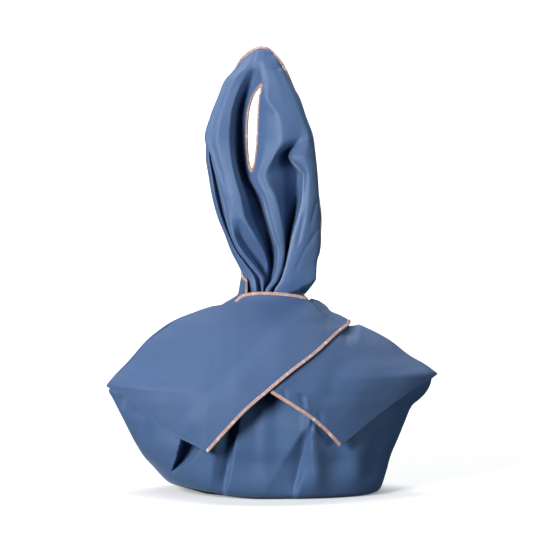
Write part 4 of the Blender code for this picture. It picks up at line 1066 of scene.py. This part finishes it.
def sewn_row(name, points, ring):
    """Stitches along a tape's groove."""
    count = len(points)
    edges = [(i, (i + 1) % count) for i in range(count if ring else count - 1)]
    line = bpy.data.meshes.new(name + "_line")
    line.from_pydata((points * MM).tolist(), edges, [])
    made = placed(name, line)
    sewing = made.modifiers.new("Stitches", "NODES")
    sewing.node_group = STITCHES
    for item in STITCHES.interface.items_tree:
        if item.name == "Thread" and item.in_out == "INPUT":
            sewing[item.identifier] = STITCH_THREAD
    worked_out(made)
    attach(made, "root")


def swept_tape(name, rows, node, ring):
    """A binding from the rows of its section's points along its edge, with its stitches."""
    rows = np.concatenate([rows, rows[:1]]) if ring else rows
    rows = np.concatenate([rows, rows[:, :1]], axis=1)
    mesh = surface(name, rows)
    shape = bmesh.new()
    shape.from_mesh(mesh)
    bmesh.ops.remove_doubles(shape, verts=shape.verts, dist=1e-6)
    bmesh.ops.holes_fill(shape, edges=[edge for edge in shape.edges if edge.is_boundary], sides=0)
    bmesh.ops.recalc_face_normals(shape, faces=shape.faces)
    shape.to_mesh(mesh)
    shape.free()
    mesh.shade_smooth()
    mesh.set_sharp_from_angle(angle=math.radians(60))
    mesh.materials.append(woven(name + "_satin", SATIN, TAPE_PINK, {"Roughness": 0.42, "Sheen Weight": 0.2}))
    made = placed(name, mesh)
    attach(made, "root")
    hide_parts(node)
    rows = rows[:-1] if ring else rows
    groove = rows[:, RIB_STEPS - 1]
    ribs = (rows[:, RIB_STEPS // 2] + rows[:, RIB_STEPS + RIB_STEPS // 2]) / 2
    sewn_row(name + "_stitches", groove + STITCH_RISE * (ribs - groove), ring)


def behind_face(edge, facing):
    """The line of a tape's middle, a little behind the face that the cloth turns out at its edge."""
    return edge - TAPE_SINK * facing


def tape(name, path, facing, node, ring=False):
    """A binding along the line of its middle, turned the way the cloth faces there."""
    along = unit(np.roll(path, -1, axis=0) - np.roll(path, 1, axis=0) if ring else np.gradient(path, axis=0))
    facing = unit(facing - along * (facing * along).sum(1, keepdims=True))
    across = np.cross(along, facing)
    rows = np.stack([path + across * a + facing * b for a, b in tape_outline()], axis=1)
    swept_tape(name, rows, node, ring)


def wing_tape(name, face_of, trim, node):
    """The binding along a wing's slanting cut edge."""
    line = curve_through(trim, np.linspace(0, 1, WING_TAPE_COUNT))
    edge = face_of(line[:, 0], line[:, 1])
    facing = np.cross(face_of(line[:, 0], line[:, 1] + 3.0) - edge, np.gradient(edge, axis=0))
    facing *= -np.sign(facing[:, 1:2]) / np.linalg.norm(facing, axis=1, keepdims=True)
    tape(name, behind_face(edge, facing), facing, node)


wing_tape("left_wing_tape", left_face, LEFT_TRIM, "left_wing_binding")
wing_tape("right_wing_tape", right_face, RIGHT_TRIM, "right_wing_binding")

# The neck's tape runs along the left wing's bound top and back round the sack's rim
LIP_LEFT, LIP_RIGHT, RIM_START = -37.0, 35.6, 0.06
LIP_COUNT, RIM_COUNT, NECK_COUNT = 90, 120, 200
lip_x = np.linspace(LIP_LEFT, LIP_RIGHT, LIP_COUNT)
lip = left_face(lip_x, level(LEFT_TOP, lip_x))
lip_facing = unit(np.cross(left_face(lip_x, lip[:, 2] - 1.0) - lip, left_face(lip_x + 1.0, lip[:, 2]) - lip))
rim_angle = np.linspace(RIM_START, CORNER_END, RIM_COUNT)
back_rim = sack_rim(rim_angle, 1.0)
# The tape faces more and more to the left where the rim's corner stands up beside the ear
sideways = 0.5 + 2.0 * smooth(math.radians(170), CORNER_LAST, rim_angle)
rim_facing = unit(np.stack([np.cos(rim_angle) * sideways, np.sin(rim_angle), 0 * rim_angle], axis=-1))
neck_path = np.concatenate([behind_face(lip, lip_facing), behind_face(back_rim, rim_facing)])
neck_facing = np.concatenate([lip_facing, rim_facing])
closed, closed_facing = (np.append(line, line[:1], axis=0) for line in (neck_path, neck_facing))
neck_path = evened(recut(closed, closed, NECK_COUNT + 1)[:-1], 5)
neck_facing = evened(recut(closed, closed_facing, NECK_COUNT + 1)[:-1], 12)
tape("neck_tape", neck_path, neck_facing, "neck_binding", ring=True)

# The ear's tape runs up its left side, over its tip and down its right side
EAR_TAPE_FROM = 5  # the row above the ear's foot where it starts
ear_whole = np.concatenate([ear_left, ear_right[:, 1:]], axis=1)
ear_normal = np.cross(np.gradient(ear_whole, axis=0), np.gradient(ear_whole, axis=1))
ear_normal /= np.maximum(np.linalg.norm(ear_normal, axis=2, keepdims=True), 1e-9)
ear_sides = [
    np.concatenate([grid[EAR_TAPE_FROM:-1, 0], grid[-1], grid[-2 : EAR_TAPE_FROM - 1 : -1, -1]])
    for grid in (ear_whole, -ear_normal)
]
ear_edge, ear_facing = (recut(side, side, EAR_TAPE_COUNT) for side in ear_sides)
tape("ear_edge_tape", behind_face(ear_edge, ear_facing), ear_facing, "ear_edge_binding")

# The hand slit's tape keeps its width all round, and its inner ribs close in to a point at the slit's ends
turn = np.linspace(0, 2 * math.pi, SLIT_TAPE_COUNT, endpoint=False)
slit_rows = []
for out, front in tape_outline(SLIT_TAPE_WIDTH):
    half_length = (SLIT_HIGH - SLIT_LOW) / 2 + (out if out > 0 else SLIT_POINTED * out)
    line = ear_fold_lines(SLIT_MIDDLE + half_length * np.cos(turn))[:, SLIT_FOLD]
    aside = (SLIT_HALF_WIDTH + out) * np.sin(turn)[:, None] * SLIT_LIE
    slit_rows.append(line + aside + (front - TAPE_SINK) * SLIT_FACING)
swept_tape("hand_slit_tape", np.stack(slit_rows, axis=1), "hand_slit_binding", ring=True)
